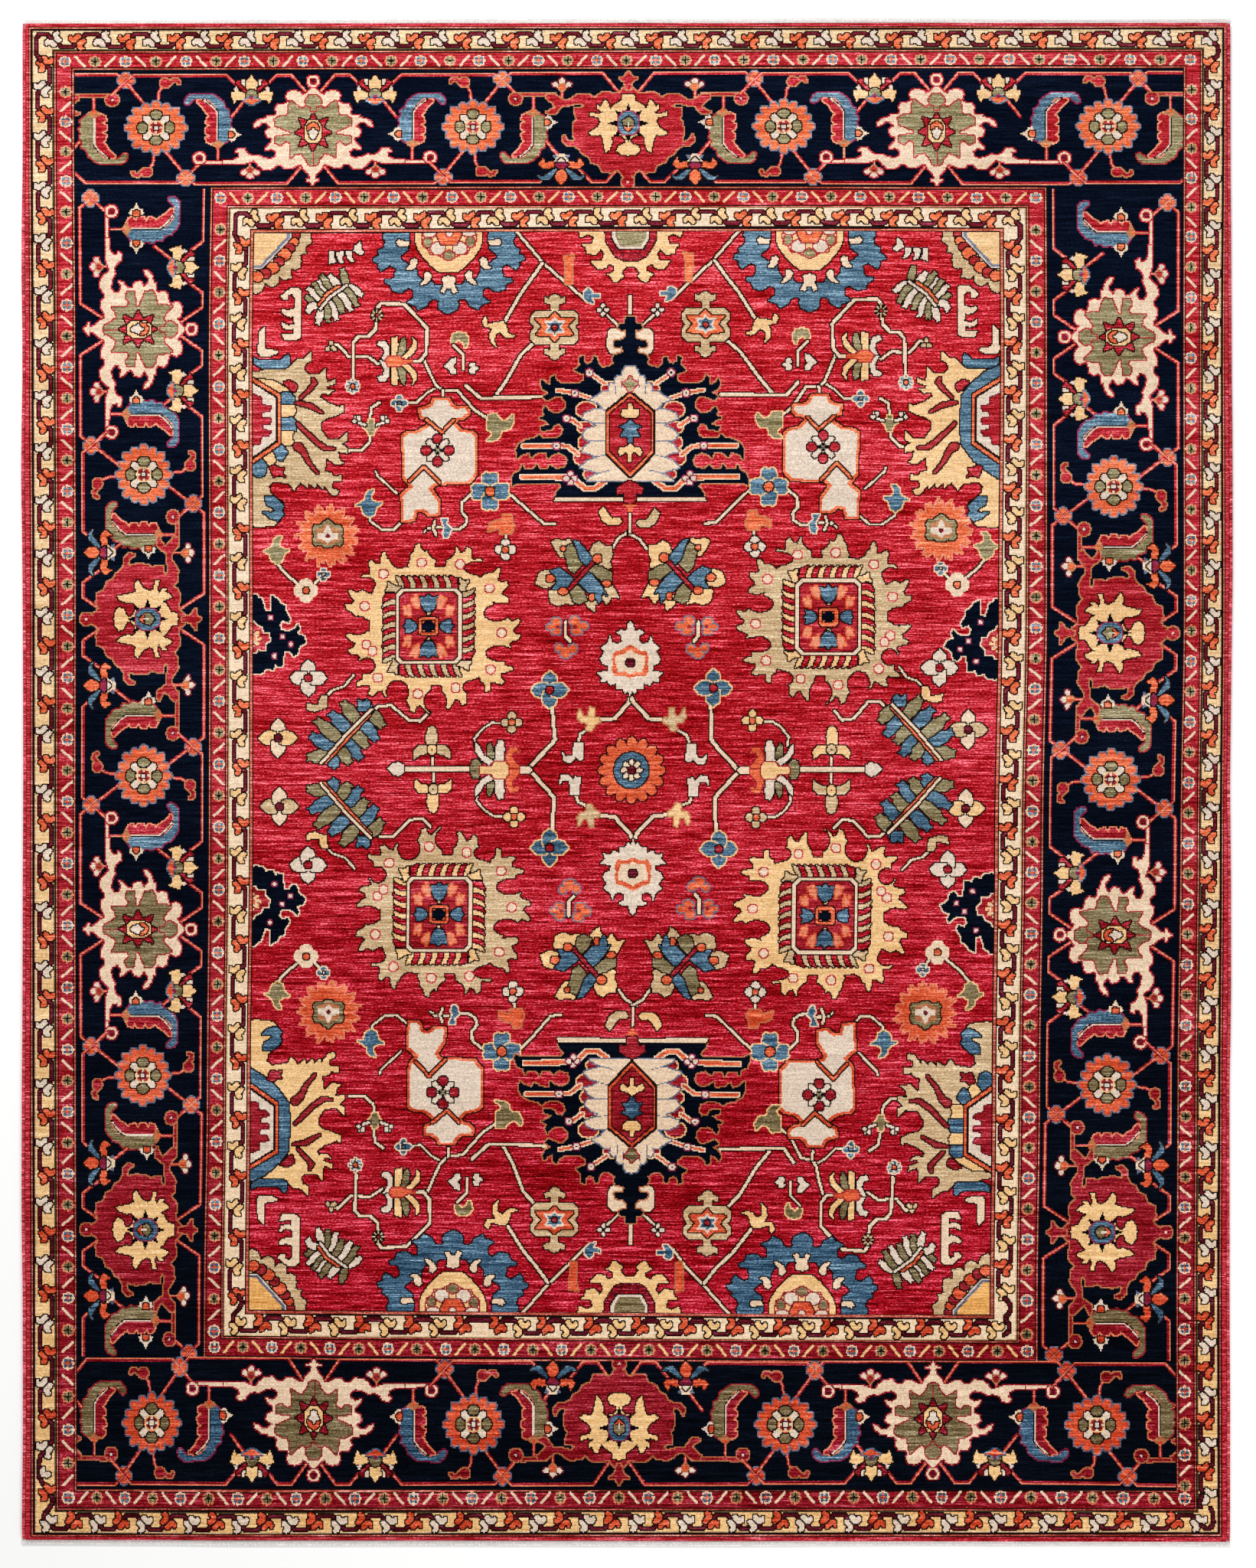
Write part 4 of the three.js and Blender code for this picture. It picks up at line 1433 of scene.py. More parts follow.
# The small things that stand alone between the great motifs
def smallMotifs(quarter, swapped):
    quarter.near(-117, 1012).patch(
        [(-8, 28), (10, 30), (7, 18), (7, -27), (-5, -30), (-7, -8)], "orange", "tan")
    quarter.near(-75, 960).patch([
        (-11, 8), (-2, 15), (6, 8), (4, 3), (20, 4), (20, -3), (4, -4), (10, -16), (-2, -13), (-11, -4),
    ], "blue", "cream")
    hook = quarter.near(-335, 845)
    hook.patch([
        (-17, 27), (-13, 40), (-3, 44), (10, 42), (18, 31), (15, 17), (11, 13), (7, 24), (-3, 30),
        (-12, 20),
    ], "sage", "maize")
    stem(hook, [(-12, 17), (7, -2), (7, -30)])
    hook.patch([
        (-7, -7), (-17, -9), (-32, -25), (-22, -30), (-17, -40), (-7, -39), (-6, -32), (-13, -25),
        (-7, -17),
    ], "ivory")
    hook.patch([
        (22, -17), (30, -17), (32, -24), (40, -28), (32, -34), (30, -40), (22, -40), (18, -32), (24, -27),
        (18, -24),
    ], "ivory")
    quarter.near(-362, 492).patch(
        [(-10, 20), (4, 20), (0, 10), (10, 0), (6, -14), (-2, -20), (-6, -8), (-2, 2)], "blue", "cream")
    quarter.near(-247, 500).patch([
        (-5, -18), (16, -18), (22, -4), (16, 6), (18, 18), (0, 20), (-2, 8), (-14, 8), (-28, 0), (-30, -14),
        (-18, -10), (-8, -8),
    ], "orange", "tan")
    swapped.near(-622, 140).patch([
        (22, 15), (10, 15), (5, 5), (5, -5), (-13, -3), (-21, 0), (-19, -14), (-4, -18), (10, -13),
        (20, -10),
    ], "straw")
    swapped.on("maizeHook").patch([
        (-20, 18), (-23, 0), (-16, -10), (-3, -12), (-6, -25), (4, -28), (12, -15), (22, -10), (20, 0),
        (10, 0), (10, 18), (2, 20), (-2, 2), (-12, 2),
    ], "maize", "tan")
    quarter.on("boot").patch([
        (-7, 20), (11, 20), (13, -15), (3, -18), (-3, -10), (-5, -15), (-13, -22), (-27, -20), (-31, 1),
        (-23, -9), (-10, -8),
    ], "ivory")
    swapped.on("clog").patch([
        (-15, 15), (-10, 20), (0, 5), (7, -4), (23, -3), (27, -10), (20, -18), (0, -18), (-13, -7),
        (-20, 10),
    ], "maize")


def trefoil(pen):
    stem(pen, [(1, -38), (1, -16)], 4)
    pen.patch([(-11, 8), (-13, 28), (-7, 44), (0, 48), (8, 43), (11, 26), (9, 8)], "straw")
    pen.pair([(8, 8), (28, 8), (38, -4), (36, -20), (24, -10), (8, -8)], "straw")
    pen.oval(0, 0, 9, 10, "maize")
    pen.oval(0, 0, 2, 2, "umber", None)


# Pale yellow and beige change places between the two diagonals of the field
def fieldQuarter(k):
    diagonal = k in (0, 3)
    quarter = Quarter(k)
    swapped = Quarter(k, None if diagonal else dict(straw="maize", maize="straw"))
    ringYarns = ("maize", "straw") if diagonal else ("straw", "maize")
    for width, routes in stems.items():
        for points in routes:
            quarter.stem(points, width)
    cornerMedallion(quarter.on("corner"), "maize" if k < 2 else "gold")
    halfPalmette(quarter.on("halfPalmette"))
    ivorySpray(quarter.on("spray"))
    hookedComb(quarter.on("comb"))
    if k < 2:
        ivoryComb(quarter.near(-590, 1055))
    ivoryBoot(quarter.near(-735, 870))
    lilyBranch(quarter.on("lily"))
    seedRosette(quarter.near(-501, 925))
    petals(quarter.near(-593, 861), 3, 6, 4, 6, "straw")
    starFlower(quarter.near(-549, 781))
    roundCross(quarter.near(-456, 747), "blue", "cream", 7, 6, "blue", 3, 3)
    flamePalmette(swapped.on("flames"), not diagonal)
    cartouche(quarter.on("cartouche"))
    clawHook(quarter.near(-255, 895))
    bottle(quarter.on("bottle"))
    lilyBud(quarter.near(-513, 697))
    sageHook(quarter.on("sageHook"))
    squareCross(quarter.on("blueCross"))
    starBud(quarter.near(-518, 540), "blue")
    roundCross(quarter.near(-242, 449), "ivory", "umber", 12, 9, "orange", 6)
    orangeFlame(quarter.on("orangeFlame"))
    starBud(quarter.near(-704, 445), "sage")
    roundCross(quarter.on("whiteFlower"), "cream", "cream", 11, 11, "orange", 6)
    roundCross(quarter.near(-609, 400), "blue", "cream", 7, 5.5, "ivory", 2)
    ringPalmette(quarter.on("ringPalmette"), *ringYarns)
    navyHalf(quarter.on("navyHalf"))
    pointedCross(quarter.on("whiteCross"), "ivory", "umber")
    pointedCross(quarter.on("maizeCross"), "cream", "umber", "maroon", ringYarns[0], 40)
    blueSpray(quarter.on("blueSpray"))
    trefoil(swapped.on("trefoil"))
    roundCross(swapped.on("plus"), "straw", "umber", 13, 8, "orange", 6)
    pointedCross(quarter.on("bluePoint"), "blue", "maize")
    crumbs(quarter.on("crumbs"))
    leafCluster(swapped.on("cluster"), "straw")
    smallMotifs(quarter, swapped)


# What lies on the rug's two middle lines
def middleMotifs():
    endPalmette(Pen(8, 1092))
    endPalmette(Pen(20, -1092, 180))
    for pen in (Pen(8, 700), Pen(22, -692, 180)):
        navyPalmette(pen)
        stem(pen, [(0, -180), (0, -216)])
    for pen in (Pen(2, 4), Pen(41, 4, 0, True)):
        stem(pen, [(-214, 0), (-196, 0)], 14)
        stem(pen, [(-440, 2), (-318, 2)], 11)
        pen.patch(
            [(-482, 3), (-472, 13), (-457, 16), (-447, 10), (-447, -5), (-457, -12), (-467, -10)],
            "ivory")
        orangeLily(pen.at(-252, 0))
    whiteMedal(Pen(*motifPlaces["medal"][0]))
    whiteMedal(Pen(*motifPlaces["medal"][2], 180))
    sunRosette(Pen(15, 3))


def field():
    window[:] = (np.abs(knotX) < 312.5 * pitch)[None, :] & (np.abs(knotY) < 454.5 * pitch)[:, None]
    for k in range(4):
        fieldQuarter(k)
    middleMotifs()
    window[:] = True


bandGround()
mainBorder(borderGround)
guards()
field()
print("design knotted:", rows, "rows of", cols, "knots")


# How the chart's straight lines wander on the loom, in millimetres

sideLines = [-1203, -1115, -838, -750, 750, 838, 1115, 1203]
sideRows = [  # y, then where the eight upright lines are
    (-1531, -1201, -1112, -850, -763, 731, 821, 1111, 1199),
    (-1078, -1201, -1112, -848, -762, 732, 823, 1110, 1198),
    (-645, -1202, -1113, -842, -759, 736, 828, 1112, 1200),
    (-150, -1202, -1114, -838, -754, 741, 834, 1118, 1203),
    (344, -1202, -1113, -837, -754, 749, 842, 1125, 1206),
    (838, -1204, -1114, -838, -755, 753, 842, 1124, 1205),
    (1364, -1206, -1117, -832, -748, 750, 840, 1125, 1208),
    (1534, -1206, -1117, -832, -748, 750, 840, 1125, 1208),
]
endLines = [-1522.5, -1434, -1179, -1092, 1092, 1179, 1434, 1522.5]
endRows = [  # x, then where the eight level lines are
    (-1213, -1520, -1426, -1154, -1062, 1109, 1196, 1439, 1524),
    (-755, -1523, -1429, -1155, -1064, 1110, 1196, 1440, 1525),
    (-524, -1521.5, -1429, -1159, -1066.5, 1110, 1198, 1441, 1525.5),
    (-29, -1520, -1427, -1161, -1070, 1115, 1198, 1442, 1525.5),
    (465, -1520, -1426, -1163, -1074, 1116, 1198, 1444, 1526),
    (712, -1520, -1425, -1163.5, -1074, 1112.5, 1196, 1444.5, 1527),
    (1213, -1519, -1429.5, -1164, -1074, 1112, 1196, 1443.5, 1526.5),
]


def easedRow(rows, at):
    table = np.array(rows, float)
    places = table[:, 0]
    at = np.clip(at, places[0], places[-1])
    k = np.clip(np.searchsorted(places, at) - 1, 0, len(places) - 2)
    share = (at - places[k]) / (places[k + 1] - places[k])
    share = (share * share * (3 - 2 * share))[:, None]
    return table[k, 1:] * (1 - share) + table[k + 1, 1:] * share


def between(lines, values, at):
    k = np.clip(np.searchsorted(lines, at, "right") - 1, 0, lines.shape[-1] - 2)
    low = lines[k]
    share = (at - low) / (lines[k + 1] - low)
    row = np.arange(len(at))
    return values[row, k] * (1 - share) + values[row, k + 1] * share


# From chart millimetres to metres on the floor
def loomPlace(x, y):
    x = np.asarray(x, float)
    y = np.asarray(y, float)
    halfWide, halfLong = cols * pitch / 2, rows * pitch / 2
    rim = 1.4  # the pile leans out over this at its rim
    left = pileEdgeX(-1, y / 1000) * 1000 + rim
    right = pileEdgeX(1, y / 1000) * 1000 - rim
    foot = pileEdgeY(-1, x / 1000) * 1000 + rim
    head = pileEdgeY(1, x / 1000) * 1000 - rim
    across = np.column_stack([left, easedRow(sideRows, y), right])
    along = np.column_stack([foot, easedRow(endRows, x), head])
    realX = between(np.array([-halfWide, *sideLines, halfWide], float), across, x)
    realY = between(np.array([-halfLong, *endLines, halfLong], float), along, y)
    return realX / 1000, realY / 1000


# Nodes, for the materials and for the wrapped and stitched edges

def feed(tree, socket, value):
    if isinstance(value, bpy.types.Node):
        value = value.outputs[0]
    if isinstance(value, bpy.types.NodeSocket):
        tree.links.new(value, socket)
    else:
        socket.default_value = value


def addNode(tree, kind, inputs, **settings):
    node = tree.nodes.new(kind)
    for key, value in settings.items():
        setattr(node, key, value)
    for key, value in inputs.items():
        feed(tree, node.inputs[key], value)
    return node


def maths(tree, operation, first, second=0.0, third=0.0, clamp=False):
    inputs = {0: first, 1: second, 2: third}
    return addNode(tree, "ShaderNodeMath", inputs, operation=operation, use_clamp=clamp)


def scaled(tree, vector, factor):
    return addNode(tree, "ShaderNodeVectorMath", {0: vector, "Scale": factor}, operation="SCALE")


def mixed(tree, factor, first, second):
    node = addNode(tree, "ShaderNodeMix", {}, data_type="RGBA")
    for key, value in (("Factor", factor), ("A", first), ("B", second)):
        feed(tree, node.inputs[key], value)
    return node.outputs["Result"]


def newGroup(name, kind, inputs, outputs):
    group = bpy.data.node_groups.new(name, kind)
    for label, socketType, value in inputs:
        socket = group.interface.new_socket(label, in_out="INPUT", socket_type="NodeSocket" + socketType)
        if value is not None:
            socket.default_value = value
    for label, socketType in outputs:
        group.interface.new_socket(label, in_out="OUTPUT", socket_type="NodeSocket" + socketType)
    return group, group.nodes.new("NodeGroupInput").outputs, group.nodes.new("NodeGroupOutput").inputs


# Level streaks where one batch of dyed yarn gives way to the next, and the mottle of hand-spun wool

streaks = [  # how often across and along the rug in a metre, fine detail, weight
    ((1.2, 9, 1), 2, 3.0),
    ((7, 150, 1), 2, 6.0),
    ((24, 420, 1), 2, 8.0),
    ((210, 420, 1), 1, 6.0),
]
streakTones = dict(thin=-0.28, thinnest=0.4, gain=0.22, dullest=0.2)
knotRise = 0.4  # how much higher than the lowest knot the highest one stands, in heights of a mound


def abrashGroup(tones):
    group, start, end = newGroup(
        "abrash", "ShaderNodeTree",
        [("Color", "Color", (0.5, 0.1, 0.1, 1)), ("Place", "Vector", None), ("Strength", "Float", 1.0)],
        [("Color", "Color"), ("Height", "Float")])
    light = 0.0
    for often, detail, weight in streaks:
        place = addNode(group, "ShaderNodeMapping", {"Vector": start["Place"], "Scale": often})
        noise = addNode(group, "ShaderNodeTexNoise", {"Vector": place, "Scale": 1.0, "Detail": detail})
        light = maths(group, "ADD", light, maths(group, "MULTIPLY_ADD", noise, weight, -weight / 2))
    light = maths(group, "MULTIPLY", light, start["Strength"])
    # where the dye took thinly it is paler and less pure, where it took deeply it is darker and purer
    depth = maths(group, "MULTIPLY_ADD", light, tones["thin"], 1.0)
    depth = maths(group, "MAXIMUM", depth, tones["thinnest"])
    gain = maths(group, "MULTIPLY_ADD", light, tones["gain"], 1.0)
    gain = maths(group, "MAXIMUM", gain, tones["dullest"])
    dyed = addNode(group, "ShaderNodeGamma", {"Color": start["Color"], "Gamma": depth})
    feed(group, end["Color"], scaled(group, dyed, gain))
    feed(group, end["Height"], light)
    return group


# One knot's own tone and its small mound, from the knot counts kept in the piece's uv map
def knotGroup():
    group, start, end = newGroup(
        "knots", "ShaderNodeTree",
        [("Color", "Color", (0.5, 0.1, 0.1, 1)), ("Count", "Vector", None), ("Tone", "Float", 0.12)],
        [("Color", "Color"), ("Height", "Float")])
    knot = addNode(group, "ShaderNodeVectorMath", {0: start["Count"]}, operation="FLOOR")
    whiteNoise = addNode(group, "ShaderNodeTexWhiteNoise", {"Vector": knot}, noise_dimensions="2D")
    chance = whiteNoise.outputs["Value"]
    tone = maths(group, "MULTIPLY", maths(group, "MULTIPLY_ADD", chance, 2.0, -1.0), start["Tone"])
    feed(group, end["Color"], scaled(group, start["Color"], maths(group, "ADD", tone, 1.0)))
    inside = addNode(group, "ShaderNodeVectorMath", {0: start["Count"]}, operation="FRACTION")
    split = addNode(group, "ShaderNodeSeparateXYZ", {0: inside})
    arches = [maths(group, "SINE", maths(group, "MULTIPLY", split.outputs[k], pi)) for k in range(2)]
    mound = maths(group, "MULTIPLY", *arches)
    feed(group, end["Height"], maths(group, "MULTIPLY_ADD", chance, knotRise, mound))
    return group


abrash = abrashGroup(streakTones)
knots = knotGroup()

pileFinish = dict(
    roughness=0.95,
    specular=0.03,
    dyeAndLightFrom=1.45,  # half the length over which the colour goes from head to foot: painted light and shade, lighter at the head, with some real change of dye
    knotTone=0.2,
    streakRelief=0.1,
    bump=0.0009,
    bumpStrength=0.5,
)
woolFinish = dict(colour=(0.60, 0.052, 0.07), roughness=0.9, specular=0.1, streaks=0.8)
cottonFinish = dict(colour=(0.93, 0.92, 0.89), roughness=0.85, specular=0.2, streaks=0.12)
foundationFinish = dict(colour=(0.72, 0.62, 0.50), roughness=0.85, specular=0.2, streaks=0.35)
yarnRelief = dict(strength=0.5, distance=0.0004, toneSpan=0.5, darkest=0.75)


def newMaterial(name, finish):
    material = bpy.data.materials.new(name)
    material.use_nodes = True
    shader = material.node_tree.nodes["Principled BSDF"]
    shader.inputs["Roughness"].default_value = finish["roughness"]
    shader.inputs["Specular IOR Level"].default_value = finish["specular"]
    return material, material.node_tree, shader


def addRelief(tree, shader, height, strength, distance):
    relief = addNode(tree, "ShaderNodeBump", {"Strength": strength, "Distance": distance, "Height": height})
    feed(tree, shader.inputs["Normal"], relief)


def pileMaterial(finish):
    material, tree, shader = newMaterial("knottedPile", finish)
    head = addNode(tree, "ShaderNodeAttribute", {}, attribute_name="dyeAndLightHead")
    foot = addNode(tree, "ShaderNodeAttribute", {}, attribute_name="dyeAndLightFoot")
    where = addNode(tree, "ShaderNodeTexCoord", {}).outputs
    split = addNode(tree, "ShaderNodeSeparateXYZ", {0: where["Object"]})
    # painted light and shade: the knots' colour goes from the lighter head colours to the darker foot
    # colours down the rug, with some real change of dye
    towardFoot = addNode(tree, "ShaderNodeMapRange", {
        "Value": split.outputs["Y"], "From Min": finish["dyeAndLightFrom"], "From Max": -finish["dyeAndLightFrom"],
    }, interpolation_type="SMOOTHSTEP")
    dyeAndLight = mixed(tree, towardFoot, head, foot)
    streaked = addNode(tree, "ShaderNodeGroup", {}, node_tree=abrash)
    knotted = addNode(tree, "ShaderNodeGroup", {}, node_tree=knots)
    for node, key, value in (
        (streaked, "Color", dyeAndLight), (streaked, "Place", scaled(tree, where["UV"], pitch / 1000)),
        (streaked, "Strength", head.outputs["Alpha"]), (knotted, "Color", streaked),
        (knotted, "Count", where["UV"]), (knotted, "Tone", finish["knotTone"]),
    ):
        feed(tree, node.inputs[key], value)
    feed(tree, shader.inputs["Base Color"], knotted)
    height = maths(
        tree, "MULTIPLY_ADD", streaked.outputs["Height"], finish["streakRelief"], knotted.outputs["Height"])
    addRelief(tree, shader, height, finish["bumpStrength"], finish["bump"])
    return material


def yarnMaterial(name, finish):
    material, tree, shader = newMaterial(name, finish)
    where = addNode(tree, "ShaderNodeTexCoord", {}).outputs["Object"]
    tone = addNode(tree, "ShaderNodeAttribute", {}, attribute_name="yarnTone").outputs["Fac"]
    gain = maths(tree, "MULTIPLY_ADD", tone, yarnRelief["toneSpan"], yarnRelief["darkest"])
    base = scaled(tree, finish["colour"], gain)
    streaked = addNode(tree, "ShaderNodeGroup", {}, node_tree=abrash)
    for key, value in (("Color", base), ("Place", where), ("Strength", finish["streaks"])):
        feed(tree, streaked.inputs[key], value)
    feed(tree, shader.inputs["Base Color"], streaked)
    addRelief(tree, shader, streaked.outputs["Height"], yarnRelief["strength"], yarnRelief["distance"])
    return material


knottedPile = pileMaterial(pileFinish)
overcastWool = yarnMaterial("overcastWool", woolFinish)
flatwovenCotton = yarnMaterial("flatwovenCotton", cottonFinish)
foundationCotton = yarnMaterial("foundationCotton", foundationFinish)
print("materials made")


# The pile: rectangles of one yarn, whose edges hold their neighbours' corners, so that nothing gapes

pileLayers = dict(
    low=0.0025,
    top=0.0092,
    roll=0.0087,  # the rim falls away in two steps, each further out
    shoulder=0.0079,
    rollOut=0.0009,
    lowOut=0.0013,
    tallest=40,  # rows of knots in one rectangle
)
pileRings = dict(  # half sizes of each piece in knots, across and along
    field=(313.5, 455.5),
    innerGuards=(352.5, 494.5),
    mainBorder=(463.5, 596.5),
    outerGuards=(cols / 2, rows / 2),
)
labelStep = 32  # a rectangle's label is its piece's number times this, plus its yarn's number
# each yarn's colour at the head and at the foot: painted lighter at the head and darker at the foot, with
# some real change of dye
yarnHeadDyeAndLight = np.array([[*(part / 255 for part in head), uneven] for head, _, uneven in yarns.values()])
yarnFootDyeAndLight = np.array([[*(part / 255 for part in foot), uneven] for _, foot, uneven in yarns.values()])


def addPiece(name, mesh):
    piece = bpy.data.objects.new(name, mesh)
    bpy.context.scene.collection.objects.link(piece)
    return piece


def newMesh(name, points, edges, faces, material=None):
    mesh = bpy.data.meshes.new(name)
    mesh.from_pydata(points, edges, faces)
    if material:
        mesh.materials.append(material)
    return mesh


# The knots of each piece: 0 and 1 for the field's foot and head, then a number for each ring
def pieceMap():
    which = np.zeros(chart.shape, np.int32)
    for k, (across, along) in reversed(list(enumerate(pileRings.values(), 1))):
        which[np.ix_(np.abs(knotY) < along * pitch, np.abs(knotX) < across * pitch)] = k
    which[(which == 1) & (knotY < 0)[:, None]] = 0
    return which


def rectanglesOf(labels, tallest):
    found = []
    begun = {}
    for row in range(rows + 1):
        now = {}
        if row < rows:
            line = labels[row]
            cuts = [0, *(np.flatnonzero(np.diff(line)) + 1).tolist(), cols]
            for left, right in zip(cuts, cuts[1:]):
                key = left, right, int(line[left])
                first = begun.get(key, row)
                now[key] = first if row - first < tallest else row
        for key, first in begun.items():
            if now.get(key) != first:
                left, right, label = key
                found.append((left, right, first, row, label))
        begun = now
    return found


def ringSides(across, along):
    sides = (cols / 2 - across, cols / 2 + across, rows / 2 - along, rows / 2 + along)
    return tuple(round(side) for side in sides)


def cornersIn(line, first, last):
    return (np.flatnonzero(line[first:last]) + first).tolist()


# The corners round a rectangle, the way its face turns
def perimeter(corners, left, right, foot, head):
    lower = [(col, foot) for col in cornersIn(corners[foot], left, right)]
    east = [(right, row) for row in cornersIn(corners[:, right], foot, head)]
    upper = [(col, head) for col in cornersIn(corners[head], left + 1, right + 1)[::-1]]
    west = [(left, row) for row in cornersIn(corners[:, left], foot + 1, head + 1)[::-1]]
    return lower + east + upper + west


# Faces of one piece: the rectangles on top, the walls round it and round its opening, and its underside
class PileFaces:
    def __init__(self):
        self.index, self.faces, self.yarns, self.counts = {}, [], [], []

    def add(self, places, yarn):
        self.faces.append([self.index.setdefault(place, len(self.index)) for place in places])
        self.counts += [(col, row) for col, row, _ in places]
        self.yarns.append(yarn)

    def wall(self, loop, levels):
        for here, there in zip(loop, loop[1:] + loop[:1]):
            for upper, lower in zip(levels, levels[1:]):
                wall = [(*here, upper), (*here, lower), (*there, lower), (*there, upper)]
                self.add(wall, yarnNumber["scarlet"])


def pileShape(rectangles, corners, outer, inner, rim):
    made = PileFaces()
    for *box, label in rectangles:
        made.add([(col, row, 0) for col, row in perimeter(corners, *box)], label % labelStep)
    lowest = 3 if rim else 1
    made.wall(perimeter(corners, *outer), range(lowest + 1))
    edge = np.zeros(corners.shape, bool)
    under = [outer]
    if inner:
        made.wall(perimeter(corners, *inner)[::-1], (0, lowest))
        left, right, foot, head = outer
        near, far, low, high = inner
        under = [
            (left, right, foot, low), (left, right, high, head),
            (left, near, low, high), (far, right, low, high),
        ]
    for left, right, foot, head in (outer, inner or outer):
        for line in ((foot, slice(left, right + 1)), (head, slice(left, right + 1)),
                     (slice(foot, head + 1), left), (slice(foot, head + 1), right)):
            edge[line] = corners[line]
    for box in under:
        made.add([(col, row, lowest) for col, row in perimeter(edge, *box)[::-1]], yarnNumber["scarlet"])
    return made


def makePilePiece(name, rectangles, corners, outer, inner=None):
    rim = name == "outerGuards"
    made = pileShape(rectangles, corners, outer, inner, rim)
    grid = np.array(list(made.index))
    level = grid[:, 2]
    x, y = (grid[:, 0] - cols / 2) * pitch, (grid[:, 1] - rows / 2) * pitch
    realX, realY = loomPlace(x, y)
    if rim:
        out = np.choose(level, [0.0, *(pileLayers[key] for key in ("rollOut", "lowOut", "lowOut"))])
        realX += np.where(np.isin(grid[:, 0], (0, cols)), np.sign(x) * out, 0)
        realY += np.where(np.isin(grid[:, 1], (0, rows)), np.sign(y) * out, 0)
        z = np.choose(level, [pileLayers[key] for key in ("top", "roll", "shoulder", "low")])
    else:
        z = np.choose(level, [pileLayers["top"], pileLayers["low"]])
    mesh = newMesh(name, np.column_stack([realX, realY, z]).tolist(), [], made.faces, knottedPile)
    dyeAndLight = np.repeat(made.yarns, [len(face) for face in made.faces])
    # the head and foot colours go on every corner; their difference is painted light and shade, with some
    # real change of dye
    for attribute, colours in (("dyeAndLightHead", yarnHeadDyeAndLight), ("dyeAndLightFoot", yarnFootDyeAndLight)):
        layer = mesh.attributes.new(attribute, "BYTE_COLOR", "CORNER")
        layer.data.foreach_set("color_srgb", colours[dyeAndLight].astype(np.float32).ravel())
    uv = mesh.uv_layers.new(name="knotCount")
    uv.data.foreach_set("uv", np.array(made.counts, np.float32).ravel())
    print(name, len(grid), "points", len(dyeAndLight) - 2 * len(made.faces), "triangles")
    return addPiece(name, mesh)


def makePile():
    rectangles = rectanglesOf(chart + labelStep * pieceMap(), pileLayers["tallest"])
    corners = np.zeros((rows + 1, cols + 1), bool)
    parts = [[] for _ in range(len(pileRings) + 1)]
    for rectangle in rectangles:
        left, right, foot, head, label = rectangle
        corners[[foot, foot, head, head], [left, right, left, right]] = True
        parts[label // labelStep].append(rectangle)
    rings = [ringSides(*half) for half in pileRings.values()]
    for (left, right, _, _), (_, _, foot, head) in zip(rings[1:], rings):
        corners[[foot, foot, head, head], [left, right, left, right]] = True
    left, right, foot, head = rings[0]
    middle = int(np.searchsorted(knotY, 0))
    corners[middle, [left, right]] = True
    made = [
        makePilePiece("fieldFoot", parts[0], corners, (left, right, foot, middle)),
        makePilePiece("fieldHead", parts[1], corners, (left, right, middle, head)),
    ]
    for k, name in enumerate(list(pileRings)[1:], 1):
        made.append(makePilePiece(name, parts[k + 1], corners, rings[k], rings[k - 1]))
    return made


pilePieces = makePile()
print("pile made")


# Foundation: the warps and wefts under the pile, one thin sheet the size of the whole rug

foundationSize = dict(thick=0.0024, inset=0.0006, across=48, along=60, width=2.425, length=3.06)


# A thin closed slab, whose outline corner(u, v) gives
def closedSheet(name, corner, across, along, thick, material):
    places = [corner(col / across, row / along) for row in range(along + 1) for col in range(across + 1)]
    points = [(x, y, 0.0) for x, y in places] + [(x, y, thick) for x, y in places]
    grid = np.arange(len(places)).reshape(along + 1, across + 1)
    under = np.stack([grid[:-1, :-1], grid[1:, :-1], grid[1:, 1:], grid[:-1, 1:]], -1).reshape(-1, 4)
    faces = under.tolist() + (under[:, ::-1] + len(places)).tolist()
    border = [*grid[0, :-1], *grid[:-1, -1], *grid[-1, :0:-1], *grid[:0:-1, 0]]
    for here, there in zip(border, border[1:] + border[:1]):
        faces.append([int(k) for k in (here, there, there + len(places), here + len(places))])
    return addPiece(name, newMesh(name, points, [], faces, material))


def foundationCorner(u, v):
    inset = foundationSize["inset"]
    x = (u - 0.5) * foundationSize["width"]
    y = (v - 0.5) * foundationSize["length"]
    realX = (pileEdgeX(-1, y) + inset) * (1 - u) + (pileEdgeX(1, y) - inset) * u
    realY = (pileEdgeY(-1, x) + inset) * (1 - v) + (pileEdgeY(1, x) - inset) * v
    return float(realX), float(realY)


foundation = closedSheet(
    "foundation", foundationCorner, foundationSize["across"], foundationSize["along"],
    foundationSize["thick"], foundationCotton)
print("foundation made")


# Runs a bare path through a node tree, and keeps the result as a plain mesh
def alongPath(name, points, girth, tree, values):
    base = newMesh(name + "Path", points, [(k, k + 1) for k in range(len(points) - 1)], [])
    layer = base.attributes.new("girth", "FLOAT", "POINT")
    layer.data.foreach_set("value", girth)
    carrier = addPiece(name + "Path", base)
    modifier = carrier.modifiers.new(name, "NODES")
    modifier.node_group = tree
    for socket in tree.interface.items_tree:
        if socket.in_out == "INPUT" and socket.name in values:
            modifier[socket.identifier] = values[socket.name]
    bpy.context.view_layer.update()
    mesh = bpy.data.meshes.new_from_object(carrier.evaluated_get(bpy.context.evaluated_depsgraph_get()))
    carrier.modifiers.clear()
    bpy.data.objects.remove(carrier)
    mesh.name = name
    return addPiece(name, mesh)


